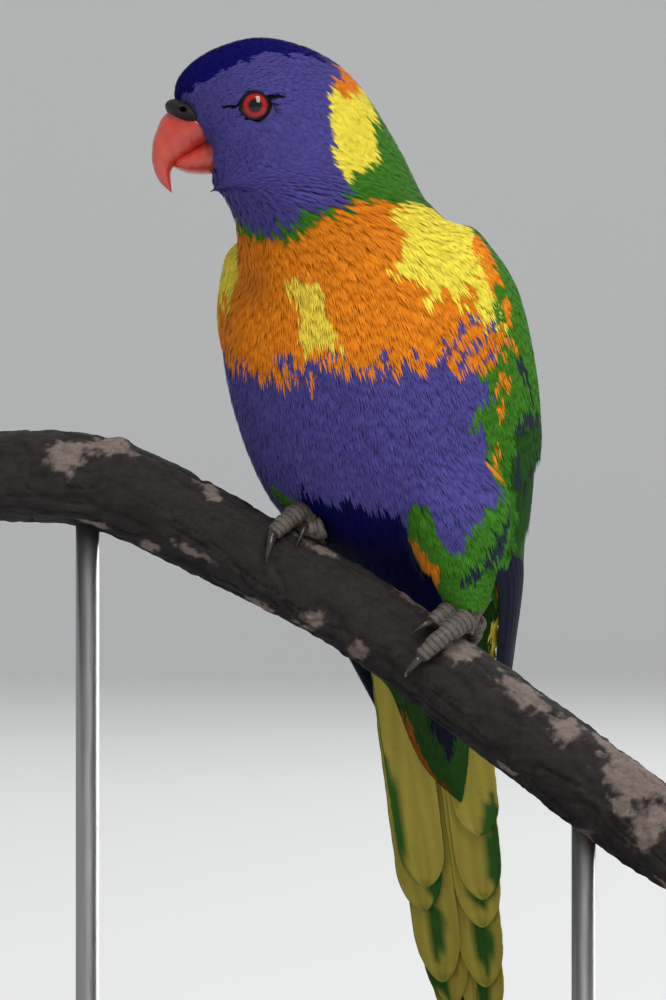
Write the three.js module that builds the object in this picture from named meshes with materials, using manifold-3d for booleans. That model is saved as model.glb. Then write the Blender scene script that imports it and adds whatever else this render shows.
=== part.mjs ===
// A life-size rainbow lorikeet, perched on a short cut branch that a plain display stand holds up.
// Millimetres, +Z up. The origin is the middle of the stand's underside; the viewer looks along +Y.
// The bird stands upright and faces the viewer, turned a little to the viewer's left, and its head
// looks straight to the viewer's left. "Left" and "right" in names are the bird's own.
import * as THREE from "three";
import { mergeVertices } from "three/addons/utils/BufferGeometryUtils.js";
import Module from "manifold-3d";

const wasm = await Module();
wasm.setup();

const GAP = 0.3; // clear space left between neighbouring pieces
const SIDES = { left: 1, right: -1 };

// Where the trunk, tail and head are, and which way each one points.
const TRUNK = { at: [11, 9, 196], pitch: 64, yaw: 30 };
const TAIL_ROOT = { ahead: -55, back: 4, left: -3 };
const TAIL_AIM = { pitch: 74, yaw: 26 };
const HEAD = { at: [-19.2, -12, 268.8], pitch: 0, yaw: 90 };

// The tail: twelve feathers in six pairs, the middle pair first.
const TAIL_LENGTHS = { left: [130, 121, 109, 92, 84, 66], right: [130, 122, 115, 108, 88, 81] };
const TAIL_PAIRS = 6;
const TAIL = { width: 15, thick: 1.4, sunk: 6, taper: 0.86, round: 4 };
const TAIL_FAN = { middle: 2.6, root: 1.35, tip: 1.4 }; // sideways: the middle pair, then each step
const TAIL_LAYER = 0.6; // each outer feather lies this much nearer the belly

// The eye and the cere, measured from the head's own point.
const EYE = { radius: 5, ahead: -0.2, up: -1.2, left: 11.55 };
const CERE = { ahead: 17, up: -2, long: 5.8, high: 2.9, wide: 7.8, tilt: 27 };

// The feet, the legs above them, and where the feet stand on the branch.
const TOE_RADIUS = 2.3;
const CLAW_RADIUS = 1.45;
const FOOT_X = { left: 24, right: -13.4 };
const TARSUS = { high: 12.5, ankle: 3, sole: 4.7, lean: -4 };
const HIP = { left: [-10, -13.5, 27], right: [-6, -12, -18] };
const THIGH_GIRTH = { left: 1, right: 0.9 };
const THIGH_RADII = [0, 10.5, 11.5, 10, 7.4, 4.8]; // from hip to ankle
const ANKLE_HIGH = 4.8;

// The branch and its stand.
const PERCH_RADIUS = 11.4;
const BARK_CLEAR = 0.75; // the branch's own lumps stay below this
const BASE = { long: 184, deep: 140, thick: 12, corner: 20, bevel: 1.2 };
const ROD = { radius: 3, x: [-62, 62] };

const rad = THREE.MathUtils.degToRad;
const vec = (x, y, z) => new THREE.Vector3(x, y, z);
const mix = THREE.MathUtils.lerp;

// The directions of a part that points `yaw` degrees to the viewer's left and `pitch` degrees up.
function axes(pitch, yaw) {
  const level = vec(-Math.sin(rad(yaw)), -Math.cos(rad(yaw)), 0);
  const up = vec(0, 0, 1);
  return {
    ahead: level.clone().multiplyScalar(Math.cos(rad(pitch))).addScaledVector(up, Math.sin(rad(pitch))),
    back: level.clone().multiplyScalar(-Math.sin(rad(pitch))).addScaledVector(up, Math.cos(rad(pitch))),
    left: vec(Math.cos(rad(yaw)), -Math.sin(rad(yaw)), 0),
  };
}

// A point given by its distances along the three directions of a part.
function offset(origin, dirs, ahead, back, left) {
  return origin
    .clone()
    .addScaledVector(dirs.ahead, ahead)
    .addScaledVector(dirs.back, back)
    .addScaledVector(dirs.left, left);
}

const trunkAxes = axes(TRUNK.pitch, TRUNK.yaw);
const tailAxes = axes(TAIL_AIM.pitch, TAIL_AIM.yaw);
const headAxes = axes(HEAD.pitch, HEAD.yaw);
const trunkAt = (ahead, back = 0, left = 0) => offset(vec(...TRUNK.at), trunkAxes, ahead, back, left);
const tailRoot = trunkAt(TAIL_ROOT.ahead, TAIL_ROOT.back, TAIL_ROOT.left);
const tailAt = (down, back = 0, left = 0) => offset(tailRoot, tailAxes, -down, back, left);
const headAt = (ahead, up = 0, left = 0) => offset(vec(...HEAD.at), headAxes, ahead, up, left);

// The smooth curve through evenly spaced values, read at t from 0 to their count less one.
function smooth(values, t) {
  const last = values.length - 1;
  const i = Math.min(Math.floor(t), last - 1);
  const f = t - i;
  const [a, b, c, d] = [-1, 0, 1, 2].map((k) => values[Math.min(Math.max(i + k, 0), last)]);
  const square = 2 * a - 5 * b + 4 * c - d;
  const cube = 3 * b - a - 3 * c + d;
  return 0.5 * (2 * b + (c - a) * f + square * f ** 2 + cube * f ** 3);
}

// A closed surface: `point(v, angle)` gives it, v from 0 to 1 along it and the angle round it. Both ends
// close on the middle of their row.
function loft(around, along, point) {
  const geometry = new THREE.SphereGeometry(1, around, along);
  const { position, uv } = geometry.attributes;
  for (let i = 0; i < position.count; i++) {
    const v = 1 - uv.getY(i);
    const atEnd = v <= 0 || v >= 1;
    const p = atEnd ? point(v, 0).lerp(point(v, Math.PI), 0.5) : point(v, 2 * Math.PI * uv.getX(i));
    position.setXYZ(i, p.x, p.y, p.z);
  }
  return solid(geometry);
}

// A closed geometry as a manifold-3d solid, with its faces pointing out.
function solid(geometry) {
  const bare = new THREE.BufferGeometry().setAttribute("position", geometry.attributes.position);
  bare.setIndex(geometry.index);
  const merged = mergeVertices(bare, 1e-4);
  const vertProperties = new Float32Array(merged.attributes.position.array);
  const triVerts = new Uint32Array(merged.index.array);
  const made = () => new wasm.Manifold(new wasm.Mesh({ numProp: 3, vertProperties, triVerts }));
  const first = made();
  if (first.volume() > 0) return first;
  for (let i = 0; i < triVerts.length; i += 3) {
    [triVerts[i + 1], triVerts[i + 2]] = [triVerts[i + 2], triVerts[i + 1]];
  }
  return made();
}

const unite = (solids) => solids.reduce((a, b) => a.add(b));
const cutBy = (piece, ...tools) => tools.reduce((a, b) => a.subtract(b), piece);

// A row of cross-sections: each is [centre, pitch, yaw, half width, reach to the back, reach to the front].
// The surface through them is read at a row number s and an angle, 0 at the back and 90 on the left.
function sectionPoint(rows, s, angle, grow = 0) {
  const read = (pick) => smooth(rows.map(pick), s);
  const centre = vec(read((r) => r[0].x), read((r) => r[0].y), read((r) => r[0].z));
  const dirs = axes(read((r) => r[1]), read((r) => r[2]));
  const reach = Math.cos(angle) > 0 ? read((r) => r[4]) : read((r) => r[5]);
  const out = (size) => (size > 0.01 ? size + grow : 0);
  return offset(
    centre,
    dirs,
    0,
    out(reach) * Math.cos(angle),
    out(Math.max(read((r) => r[3]), 0)) * Math.sin(angle),
  );
}

// The whole body under its feathers' outline, from the tip of the tail coverts to the base of the bill.
const BODY = [
  [tailAt(57, -3, 6), 74, 27, 0, 0, 0], // tip of the tail coverts
  [tailAt(46, -1.6, 2), 74, 27, 6.8, 2.4, 3.4],
  [tailAt(24, -0.4, 0.6), 73, 28, 12.5, 6.2, 7.6],
  [tailAt(3, 0), 70, 30, 19.5, 11.5, 12.5], // vent
  [trunkAt(-38, 3, -1), 66, 30, 26.5, 18.5, 20.5], // rump
  [trunkAt(-19, 0, 0), 64, 30, 34, 25.5, 28.5], // lower belly
  [trunkAt(2), 64, 30, 37, 29, 32], // belly
  [trunkAt(22), 65, 30, 35.6, 28.5, 31.6], // breast
  [trunkAt(38, 0.5, 0.8), 69, 34, 30.4, 26, 26.6], // shoulders
  [vec(0.6, -9.5, 239.8), 79, 44, 26, 24.6, 23.5], // base of the neck
  [vec(-3, -12.5, 247.2), 88, 64, 22, 25.2, 25], // neck
  [vec(-8.2, -12.4, 255.4), 70, 80, 18.5, 23.3, 23.8], // back of the head
  [vec(-14, -12, 263.6), 45, 88, 16.4, 21.8, 22], // back of the crown
  [vec(-22.4, -12, 267.6), 22, 90, 14.4, 19.4, 19.6], // eyes
  [vec(-28.6, -12, 267.4), 4, 90, 11.6, 16.4, 17], // brow
  [vec(-34, -12, 266.2), -25, 90, 7.4, 10.4, 10.4], // lores
  [vec(-39.2, -12, 267.8), -32, 90, 0, 0, 0], // above the cere
];
const BODY_AROUND = 20;
const BODY_ALONG = 29;
const bodyEnd = BODY.length - 1;

function bodySolid(grow = 0) {
  return loft(BODY_AROUND, BODY_ALONG, (v, angle) => sectionPoint(BODY, bodyEnd * v, angle, grow));
}

// The part of a solid between two cuts across the body, each at a row number, with a gap left at each.
function between(whole, low, high) {
  const planeAt = (s) => {
    const centre = sectionPoint(BODY, s, 0).add(sectionPoint(BODY, s, Math.PI)).multiplyScalar(0.5);
    const rowDirs = axes(smooth(BODY.map((r) => r[1]), s), smooth(BODY.map((r) => r[2]), s));
    return { normal: rowDirs.ahead, distance: centre.dot(rowDirs.ahead) };
  };
  let piece = whole;
  if (low !== null) {
    const { normal, distance } = planeAt(low);
    piece = piece.trimByPlane([normal.x, normal.y, normal.z], distance + GAP / 2);
  }
  if (high !== null) {
    const { normal, distance } = planeAt(high);
    piece = piece.trimByPlane([-normal.x, -normal.y, -normal.z], -distance + GAP / 2);
  }
  return piece;
}

// The folded wings lie on a shell round the trunk: distance ahead, half width and reach to the back.
const SHELL = [
  [45.5, 27, 21],
  [40.5, 36, 29],
  [24, 42.2, 34.8],
  [2, 42.8, 35],
  [-18, 40.6, 31.5],
  [-38, 34.6, 25],
  [-56, 30.5, 17.5],
  [-74, 25, 13.5],
  [-92, 20, 11],
];
const SHELL_BEND = -3; // how far the wing tips swing to the bird's right, with the tail

// The feathered arm lies along the shell's first rows: angle of its upper edge and of its lower edge from
// the middle of the back, and its thickness.
const ARM = [
  [72, 78, 1],
  [46, 96, 9],
  [31, 100, 11],
  [24, 99, 11],
  [22, 98, 10],
  [23, 100, 7],
  [34, 105, 4],
  [66, 92, 0.8],
];
const ARM_END = -66;
const ARM_ARCH = 2.6; // how much its edges dip below the shell

// The long quills, from the outermost one, whose tip reaches furthest, to the innermost one.
const QUILLS = { count: 5, width: 14.5, thick: 2, root: -24, lift: -1.4, layer: 0.4, round: 2.2 };
const QUILL_TIPS = { ahead: [-91, -60], angle: [102, 46] };
const QUILL_ROOT_ANGLES = [112, 46];

// A point on the shell: its distance ahead, its angle from the middle of the back and its lift off it.
function shellPoint(side, ahead, angle, lift) {
  const below = SHELL.findIndex((row, i) => i > 0 && row[0] <= ahead);
  const i = below < 0 ? SHELL.length - 1 : below;
  const s = i - 1 + (SHELL[i - 1][0] - ahead) / (SHELL[i - 1][0] - SHELL[i][0]);
  const row = Math.min(Math.max(s, 0), SHELL.length - 1);
  const wide = smooth(SHELL.map((r) => r[1]), row);
  const deep = smooth(SHELL.map((r) => r[2]), row);
  const swing = SHELL_BEND * Math.max((SHELL[1][0] - ahead) / (SHELL[1][0] - QUILL_TIPS.ahead[0]), 0) ** 2;
  const left = side * (wide + lift) * Math.sin(rad(angle)) + swing;
  return trunkAt(ahead, (deep + lift) * Math.cos(rad(angle)), left);
}

const shellWidth = (ahead) => shellPoint(1, ahead, 90, 0).distanceTo(shellPoint(-1, ahead, 90, 0)) / 2;

// The feathered arm and its coverts: a lens-shaped section that follows the shell from edge to edge.
function wingArm(side, grow = 0) {
  const last = ARM.length - 1;
  return loft(12, 12, (v, turn) => {
    const s = last * v;
    const read = (k) => smooth(ARM.map((r) => r[k]), s);
    const ahead = smooth([...SHELL.slice(0, last).map((r) => r[0]), ARM_END], s);
    const middle = (read(0) + read(1)) / 2;
    const half = (read(1) - read(0)) / 2 + THREE.MathUtils.radToDeg(grow / shellWidth(ahead));
    const bulge = Math.sign(Math.sin(turn)) * Math.abs(Math.sin(turn)) ** 0.6;
    const lift = (read(2) / 2) * (bulge - 1) + grow * bulge - ARM_ARCH * Math.cos(turn) ** 2;
    return shellPoint(side, ahead, middle - half * Math.cos(turn), lift);
  });
}

// One long quill of the folded wing, straight from under the coverts to its tip, lying on the shell.
function wingQuill(side, k) {
  const share = k / (QUILLS.count - 1);
  const tip = { ahead: mix(...QUILL_TIPS.ahead, share), angle: mix(...QUILL_TIPS.angle, share) };
  const rootAngle = mix(...QUILL_ROOT_ANGLES, share);
  return loft(4, 6, (v, turn) => {
    const ahead = mix(QUILLS.root, tip.ahead, v);
    const round = Math.min(1, QUILLS.round * Math.sqrt(Math.max(1 - v, 0)), 6 * v + 0.3);
    const spread = THREE.MathUtils.radToDeg((QUILLS.width / 2 / shellWidth(ahead)) * round);
    const lift = QUILLS.lift + QUILLS.layer * k + (QUILLS.thick / 2) * Math.sin(turn);
    return shellPoint(side, ahead, mix(rootAngle, tip.angle, v) + spread * Math.cos(turn), lift);
  });
}

// One tail feather: a thin rounded vane on its own line of the fan, k from the middle pair outwards.
function tailVane(side, k, length) {
  const layer = -TAIL_LAYER * (k - (TAIL_PAIRS - 1) / 2);
  return loft(4, 8, (v, turn) => {
    const far = 1 - (1 - v) ** 1.5; // rows are closer together at the rounded tip
    const down = mix(-TAIL.sunk, length, far);
    const half = (TAIL.width / 2) * Math.min(1, TAIL.round * Math.sqrt(Math.max(1 - far, 0)), 0.6 + 3 * far);
    const taper = mix(1, TAIL.taper, far * far);
    const middle = side * (TAIL_FAN.middle + k * mix(TAIL_FAN.root, TAIL_FAN.tip, far));
    return tailAt(down, layer + (TAIL.thick / 2) * Math.sin(turn), middle + half * taper * Math.cos(turn));
  });
}

// The bill. Each row of a horn is an upper and a lower point of its outline, [ahead, up] of the head's
// point, and its half width.
const UPPER_BILL = [
  [[13, -3], [9.5, -8], 4], // inside the head
  [[16.5, -1.2], [10.5, -9], 6.1],
  [[20.8, -0.8], [14, -11], 5.9],
  [[23.8, -4.4], [17.2, -13.2], 5.1],
  [[25.5, -9.8], [20, -14.9], 4],
  [[25.4, -14.8], [21, -16.9], 2.7],
  [[23.7, -18.8], [20.9, -19], 1.4],
  [[20.7, -21.6], [20.7, -21.6], 0],
];
const LOWER_BILL = [
  [[7, -10], [7, -14.6], 3.5], // inside the head
  [[9, -8.6], [8.4, -16.4], 5.4],
  [[12.5, -10.2], [12.2, -17], 5.5],
  [[16.3, -12.4], [16.4, -16.8], 4.7],
  [[19.2, -13.6], [19.2, -15.8], 3.2],
  [[20.8, -14.6], [20.8, -14.6], 0],
];

function horn(rows, around, along, grow = 0) {
  return loft(around, along, (v, angle) => {
    const s = (rows.length - 1) * v;
    const read = (i, j) => smooth(rows.map((r) => r[i][j]), s);
    const [topAhead, topUp, lowAhead, lowUp] = [read(0, 0), read(0, 1), read(1, 0), read(1, 1)];
    const length = Math.hypot(topAhead - lowAhead, topUp - lowUp);
    const half = length / 2 + (length > 0.01 ? grow : 0);
    const wide = Math.max(smooth(rows.map((r) => r[2]), s), 0);
    const share = length > 0.01 ? (half / length) * Math.cos(angle) : 0;
    return headAt(
      (topAhead + lowAhead) / 2 + (topAhead - lowAhead) * share,
      (topUp + lowUp) / 2 + (topUp - lowUp) * share,
      (wide > 0.01 ? wide + grow : 0) * Math.sin(angle),
    );
  });
}

function cereSolid(grow = 0) {
  const tilt = rad(CERE.tilt);
  return loft(12, 7, (v, angle) => {
    const along = (CERE.long + grow) * Math.cos(Math.PI * v);
    const high = (CERE.high + grow) * Math.sin(Math.PI * v) * Math.cos(angle);
    const out = (CERE.wide + grow) * Math.sin(Math.PI * v) * Math.sin(angle);
    return headAt(
      CERE.ahead + along * Math.cos(tilt) - high * Math.sin(tilt),
      CERE.up + along * Math.sin(tilt) + high * Math.cos(tilt),
      out,
    );
  });
}

function ball(centre, radius) {
  return solid(new THREE.SphereGeometry(radius, 12, 8).translate(centre.x, centre.y, centre.z));
}

// The branch: points of its middle line, [x, z], which it follows with a slow turn towards the viewer.
const PERCH_LINE = [
  [-92, 177.2],
  [-68, 176.6],
  [-53, 173.4],
  [-36, 166],
  [-13, 154],
  [11, 139.6],
  [38, 120],
  [66, 100],
  [92, 81],
];
const PERCH_TURN = -0.2;
const STUB = { x: -66, lean: 10, long: 16.5, radius: 10.4 };
const perchCurve = new THREE.CatmullRomCurve3(PERCH_LINE.map(([x, z]) => vec(x, PERCH_TURN * x, z)));

// The branch at the share v of its length: centre, direction, upward side, side towards the viewer, radius.
function perchAt(v) {
  const centre = perchCurve.getPointAt(v);
  const run = perchCurve.getTangentAt(v);
  const up = vec(0, 0, 1).addScaledVector(run, -run.z).normalize();
  const near = run.clone().cross(up);
  const radius = PERCH_RADIUS * (1 + 0.05 * Math.sin(9 * v) - 0.06 * v);
  return { centre, run, up, near, radius };
}

// The share of the branch's length at which its middle line is at x.
function perchShare(x) {
  const [from, to] = [PERCH_LINE[0][0], PERCH_LINE.at(-1)[0]];
  let v = (x - from) / (to - from);
  for (let i = 0; i < 12; i++) v += (x - perchCurve.getPointAt(v).x) / (to - from);
  return v;
}

function perchSolid(grow = 0) {
  const rows = 20;
  const tube = loft(13, rows, (v, angle) => {
    const inner = Math.min(Math.max((v * rows - 1) / (rows - 2), 0), 1); // the end rows close the flat ends
    const { centre, up, near, radius } = perchAt(inner);
    const lump = 1 + 0.03 * Math.sin(3 * angle + 14 * v) + 0.02 * Math.sin(5 * angle - 23 * v);
    const r = (radius + grow) * lump;
    return centre.clone().addScaledVector(up, r * Math.cos(angle)).addScaledVector(near, r * Math.sin(angle));
  });
  const { centre, run, up } = perchAt(perchShare(STUB.x));
  const lean = rad(STUB.lean);
  const aim = run.clone().multiplyScalar(Math.cos(lean)).addScaledVector(up, Math.sin(lean));
  const side = run.clone().cross(up);
  const rise = aim.clone().cross(side);
  const stub = loft(12, 7, (v, angle) => {
    const far = STUB.long * Math.sin((Math.PI / 2) * v);
    const radius = (STUB.radius + grow) * Math.sqrt(1 - v ** 6);
    return centre
      .clone()
      .addScaledVector(aim, far)
      .addScaledVector(side, radius * Math.sin(angle))
      .addScaledVector(rise, radius * Math.cos(angle));
  });
  return tube.add(stub);
}

// A tube that closes to a point at both ends: path(v) is its middle line, radius(v) its radius, and its
// rings are set by a direction across the path.
function tube(around, along, across, path, radius) {
  return loft(around, along, (v, angle) => {
    const here = path(v);
    const ahead = path(Math.min(v + 0.01, 1)).sub(path(Math.max(v - 0.01, 0))).normalize();
    const sideways = ahead.clone().cross(across).normalize();
    const third = sideways.clone().cross(ahead);
    const r = radius(v);
    return here.addScaledVector(sideways, r * Math.cos(angle)).addScaledVector(third, r * Math.sin(angle));
  });
}

// A point beside the branch: `turn` degrees round it from its top towards the viewer, `along` it from the
// foot, and `off` its bark.
function gripPoint(footShare, turn, along, off) {
  const length = perchCurve.getLength();
  const { centre, up, near, radius } = perchAt(footShare + along / length);
  return centre
    .clone()
    .addScaledVector(up, (radius + off) * Math.cos(rad(turn)))
    .addScaledVector(near, (radius + off) * Math.sin(rad(turn)));
}

// The toes: two point forward and two back. Each gives, for its root, its end and its claw's tip, the turn
// round the branch in degrees and the distance along the branch from the foot's middle.
const TOES = {
  left: {
    inner_front: { turn: [6, 44, 68], along: [-3.2, -4.4, -6.6], thick: 0.94 },
    outer_front: { turn: [14, 84, 114], along: [1.4, -1.2, -1.6], thick: 1.04 },
    inner_back: { turn: [-12, -62, -90], along: [-2.6, -4.4, -5], thick: 0.9 },
    outer_back: { turn: [-12, -88, -116], along: [2.6, 4.2, 4], thick: 0.98 },
  },
  right: {
    inner_front: { turn: [14, 24, 50], along: [5.6, 1.9, 2.8], thick: 0.94 },
    outer_front: { turn: [4, 56, 88], along: [-1.4, -3.4, -0.8], thick: 1.04 },
    inner_back: { turn: [-12, -60, -88], along: [2.6, 4.4, 5], thick: 0.9 },
    outer_back: { turn: [-12, -84, -112], along: [-2.6, -4.2, -4], thick: 0.98 },
  },
};

function toeSolid(share, toe, grow = 0) {
  const thick = TOE_RADIUS * toe.thick;
  const path = (v) => {
    const turn = mix(toe.turn[0], toe.turn[1], v);
    const along = mix(toe.along[0], toe.along[1], v);
    return gripPoint(share, turn, along, BARK_CLEAR + thick + 1.6 * (1 - v) ** 3);
  };
  const pads = (v) => 1 + 0.07 * Math.cos(6 * Math.PI * v);
  return tube(8, 6, perchAt(share).run, path, (v) => thick * mix(1.08, 0.8, v) * pads(v) + grow);
}

function clawSolid(share, toe) {
  const thick = TOE_RADIUS * toe.thick;
  const sunk = -0.1;
  const path = (v) => {
    const far = mix(sunk, 1, v);
    const turn = mix(toe.turn[1], toe.turn[2], far);
    const along = mix(toe.along[1], toe.along[2], far);
    const arch = 1.5 * Math.sin(Math.PI * Math.min(Math.max(far, 0), 1));
    return gripPoint(share, turn, along, BARK_CLEAR + thick * mix(1, 0.1, v * v) + arch);
  };
  return tube(6, 5, perchAt(share).run, path, (v) => CLAW_RADIUS * toe.thick * (1 - 0.86 * v));
}

// The bare foot above the branch, between the feathered leg and the toes.
function tarsusSolid(share, grow = 0) {
  const top = gripPoint(share, TARSUS.lean, 0, TARSUS.high);
  const sole = gripPoint(share, 0, 0, BARK_CLEAR + GAP);
  const { run } = perchAt(share);
  return loft(10, 6, (v, angle) => {
    const here = top.clone().lerp(sole, v);
    const r = mix(TARSUS.ankle, TARSUS.sole, v * v) + grow;
    const axis = sole.clone().sub(top).normalize();
    const across = run.clone().addScaledVector(axis, -run.dot(axis)).normalize();
    const deep = across.clone().cross(axis);
    return here.addScaledVector(across, r * Math.cos(angle)).addScaledVector(deep, r * Math.sin(angle));
  });
}

// The feathered thigh, from the flank down to just above the foot.
function thighSolid(name, share, grow = 0) {
  const hip = trunkAt(...HIP[name]);
  const ankle = gripPoint(share, TARSUS.lean, 0.5, ANKLE_HIGH);
  return loft(12, 8, (v, angle) => {
    const here = hip.clone().lerp(ankle, v);
    const axis = ankle.clone().sub(hip).normalize();
    const across = trunkAxes.left.clone().addScaledVector(axis, -trunkAxes.left.dot(axis)).normalize();
    const deep = across.clone().cross(axis);
    const r = THIGH_GIRTH[name] * smooth(THIGH_RADII, (THIGH_RADII.length - 1) * v) + grow;
    return here.addScaledVector(across, r * Math.cos(angle)).addScaledVector(deep, r * Math.sin(angle));
  });
}

// The stand's base: a plain board with round corners and a small bevel.
function baseSolid() {
  const [w, d, r] = [BASE.long / 2 - BASE.bevel, BASE.deep / 2 - BASE.bevel, BASE.corner];
  const outline = new THREE.Shape();
  outline.moveTo(-w + r, -d);
  outline.lineTo(w - r, -d);
  outline.absarc(w - r, -d + r, r, -Math.PI / 2, 0);
  outline.lineTo(w, d - r);
  outline.absarc(w - r, d - r, r, 0, Math.PI / 2);
  outline.lineTo(-w + r, d);
  outline.absarc(-w + r, d - r, r, Math.PI / 2, Math.PI);
  outline.lineTo(-w, -d + r);
  outline.absarc(-w + r, -d + r, r, Math.PI, 1.5 * Math.PI);
  const board = new THREE.ExtrudeGeometry(outline, {
    depth: BASE.thick - 2 * BASE.bevel,
    bevelThickness: BASE.bevel,
    bevelSize: BASE.bevel,
    bevelSegments: 1,
    curveSegments: 4,
  });
  board.translate(0, 0, BASE.bevel);
  return solid(board);
}

function rodSolid(x) {
  const { centre } = perchAt(perchShare(x));
  const foot = BASE.thick + GAP;
  const rod = new THREE.CylinderGeometry(ROD.radius, ROD.radius, centre.z - foot, 20);
  rod.rotateX(Math.PI / 2).translate(centre.x, centre.y, (centre.z + foot) / 2);
  return solid(rod);
}

const finish = (colour, roughness, metalness = 0) =>
  new THREE.MeshStandardMaterial({ color: colour, roughness, metalness });
const FINISHES = {
  blue: finish(0x443f76, 0.75),
  orange: finish(0xd07b1c, 0.75),
  green: finish(0x396c1e, 0.7),
  olive: finish(0x817a35, 0.7),
  quill: finish(0x161a2a, 0.6),
  bill: finish(0xba4639, 0.35),
  cere: finish(0x140e11, 0.5),
  eye: finish(0x8c1212, 0.1),
  foot: finish(0x665d55, 0.7),
  claw: finish(0x1c1412, 0.4),
  bark: finish(0x211d1d, 0.9),
  board: finish(0x3a2a1e, 0.5),
  steel: finish(0xb9bcc0, 0.3, 1),
};

const lorikeet = new THREE.Group();

function add(name, piece, finishName) {
  const mesh = piece.getMesh();
  const geometry = new THREE.BufferGeometry();
  geometry.setAttribute("position", new THREE.BufferAttribute(new Float32Array(mesh.vertProperties), 3));
  geometry.setIndex(new THREE.BufferAttribute(new Uint32Array(mesh.triVerts), 1));
  const made = new THREE.Mesh(geometry, FINISHES[finishName]);
  made.name = name;
  lorikeet.add(made);
}

const NECK_CUT = 8.6; // rows of BODY where the neck begins and ends
const HEAD_CUT = 10.6;
const body = bodySolid();
const bodyClear = bodySolid(GAP);
const eyeSolid = (side, grow = 0) => ball(headAt(EYE.ahead, EYE.up, side * EYE.left), EYE.radius + grow);
const sockets = Object.values(SIDES).map((side) => eyeSolid(side, GAP));

const feet = Object.fromEntries(Object.keys(SIDES).map((name) => {
  const share = perchShare(FOOT_X[name]);
  const toes = Object.entries(TOES[name]);
  return [name, {
    share,
    toes,
    thigh: thighSolid(name, share),
    thighClear: thighSolid(name, share, GAP),
    clear: unite([tarsusSolid(share, GAP), ...toes.map(([, toe]) => toeSolid(share, toe, GAP))]),
  }];
}));
const feetClear = Object.values(feet).map((foot) => foot.clear);
const thighsClear = Object.values(feet).map((foot) => foot.thighClear);

const [upperClear, cereClear] = [horn(UPPER_BILL, 12, 9, GAP), cereSolid(GAP)];
const billClear = [upperClear, horn(LOWER_BILL, 10, 6, GAP), cereClear];

add("head", cutBy(between(body, HEAD_CUT, null), ...sockets, ...billClear), "blue");
add("neck", between(body, NECK_CUT, HEAD_CUT), "green");
add("trunk", cutBy(between(body, null, NECK_CUT), ...feetClear, ...thighsClear), "orange");
add("tail", cutBy(
  unite(Object.entries(SIDES).flatMap(([name, side]) => (
    TAIL_LENGTHS[name].map((length, k) => tailVane(side, k, length))
  ))),
  bodyClear,
), "olive");

add("bill_upper", cutBy(horn(UPPER_BILL, 12, 9), cereClear), "bill");
add("bill_lower", cutBy(horn(LOWER_BILL, 10, 6), upperClear), "bill");
add("cere", cereSolid(), "cere");

const perch = perchSolid();
const perchClear = perchSolid(GAP);
for (const [name, side] of Object.entries(SIDES)) {
  const { share, toes, thigh, thighClear, clear } = feet[name];
  const arm = wingArm(side);
  const quills = unite(Array.from({ length: QUILLS.count }, (_, k) => wingQuill(side, k)));
  add(`eye_${name}`, eyeSolid(side), "eye");
  add(`wing_${name}`, cutBy(arm, bodyClear, thighClear), "green");
  add(`wing_quills_${name}`, cutBy(quills, bodyClear, wingArm(side, GAP), thighClear), "quill");
  add(`thigh_${name}`, cutBy(thigh, clear), "green");
  add(`tarsus_${name}`, tarsusSolid(share), "foot");
  for (const [toeName, toe] of toes) {
    const toePiece = cutBy(toeSolid(share, toe), tarsusSolid(share, GAP));
    add(`toe_${name}_${toeName}`, toePiece, "foot");
    add(`claw_${name}_${toeName}`, cutBy(clawSolid(share, toe), toeSolid(share, toe, GAP)), "claw");
  }
}

add("perch", perch, "bark");
add("stand_base", baseSolid(), "board");
ROD.x.forEach((x, i) => add(`stand_rod_${i + 1}`, cutBy(rodSolid(x), perchClear), "steel"));

export default lorikeet;
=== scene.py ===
"""A life-size rainbow lorikeet on a short cut branch, held up by a plain display stand.

Shapes are worked out in millimetres, +Z up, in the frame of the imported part, and put into meshes in
metres. "Left" and "right" are the bird's own. Feathers are thin vanes of narrow strips or closed thin
blades that lie on the same surfaces as the solids.
"""
import math

import bpy
import numpy as np
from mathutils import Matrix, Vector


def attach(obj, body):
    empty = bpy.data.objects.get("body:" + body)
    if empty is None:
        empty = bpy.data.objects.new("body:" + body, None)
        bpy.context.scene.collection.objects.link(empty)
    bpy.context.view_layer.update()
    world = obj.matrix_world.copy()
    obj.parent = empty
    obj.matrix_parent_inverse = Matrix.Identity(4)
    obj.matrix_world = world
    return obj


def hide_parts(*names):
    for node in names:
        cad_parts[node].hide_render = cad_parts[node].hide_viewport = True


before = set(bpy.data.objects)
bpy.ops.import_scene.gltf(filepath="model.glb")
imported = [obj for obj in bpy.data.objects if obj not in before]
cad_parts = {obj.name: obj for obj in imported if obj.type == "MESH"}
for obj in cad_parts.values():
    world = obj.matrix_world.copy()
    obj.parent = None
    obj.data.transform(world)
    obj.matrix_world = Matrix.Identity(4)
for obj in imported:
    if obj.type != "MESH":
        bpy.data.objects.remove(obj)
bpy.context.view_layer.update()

MM = 0.001
SIDES = {"left": 1, "right": -1}

# Where the trunk, the tail and the head are
TRUNK_AT, TRUNK_PITCH, TRUNK_YAW = (11, 9, 196), 64, 30
TAIL_PITCH, TAIL_YAW = 74, 26
HEAD_AT, HEAD_YAW = (-19.2, -12, 268.8), 90


def floats(*values):
    """The values as arrays of numbers of one common shape."""
    return np.broadcast_arrays(*(np.asarray(value, float) for value in values))


def circle(count):
    """Angles once round in even steps, as one row."""
    return np.linspace(0, 2 * np.pi, count, endpoint=False)[None]


def signed(degrees):
    """Degrees brought between -180 and 180."""
    return np.mod(degrees + 180, 360) - 180


def hump(x, wide, at=0.0):
    """A smooth hump, 1 in its middle: e to the power of minus the square of the distance over the width."""
    return np.exp(-(((x - at) / wide) ** 2))


def eased(low, high, x):
    """From 0 at low to 1 at high: three times the share's square less twice its cube."""
    share = np.clip((x - low) / (high - low), 0, 1)
    return share * share * (3 - 2 * share)


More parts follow.
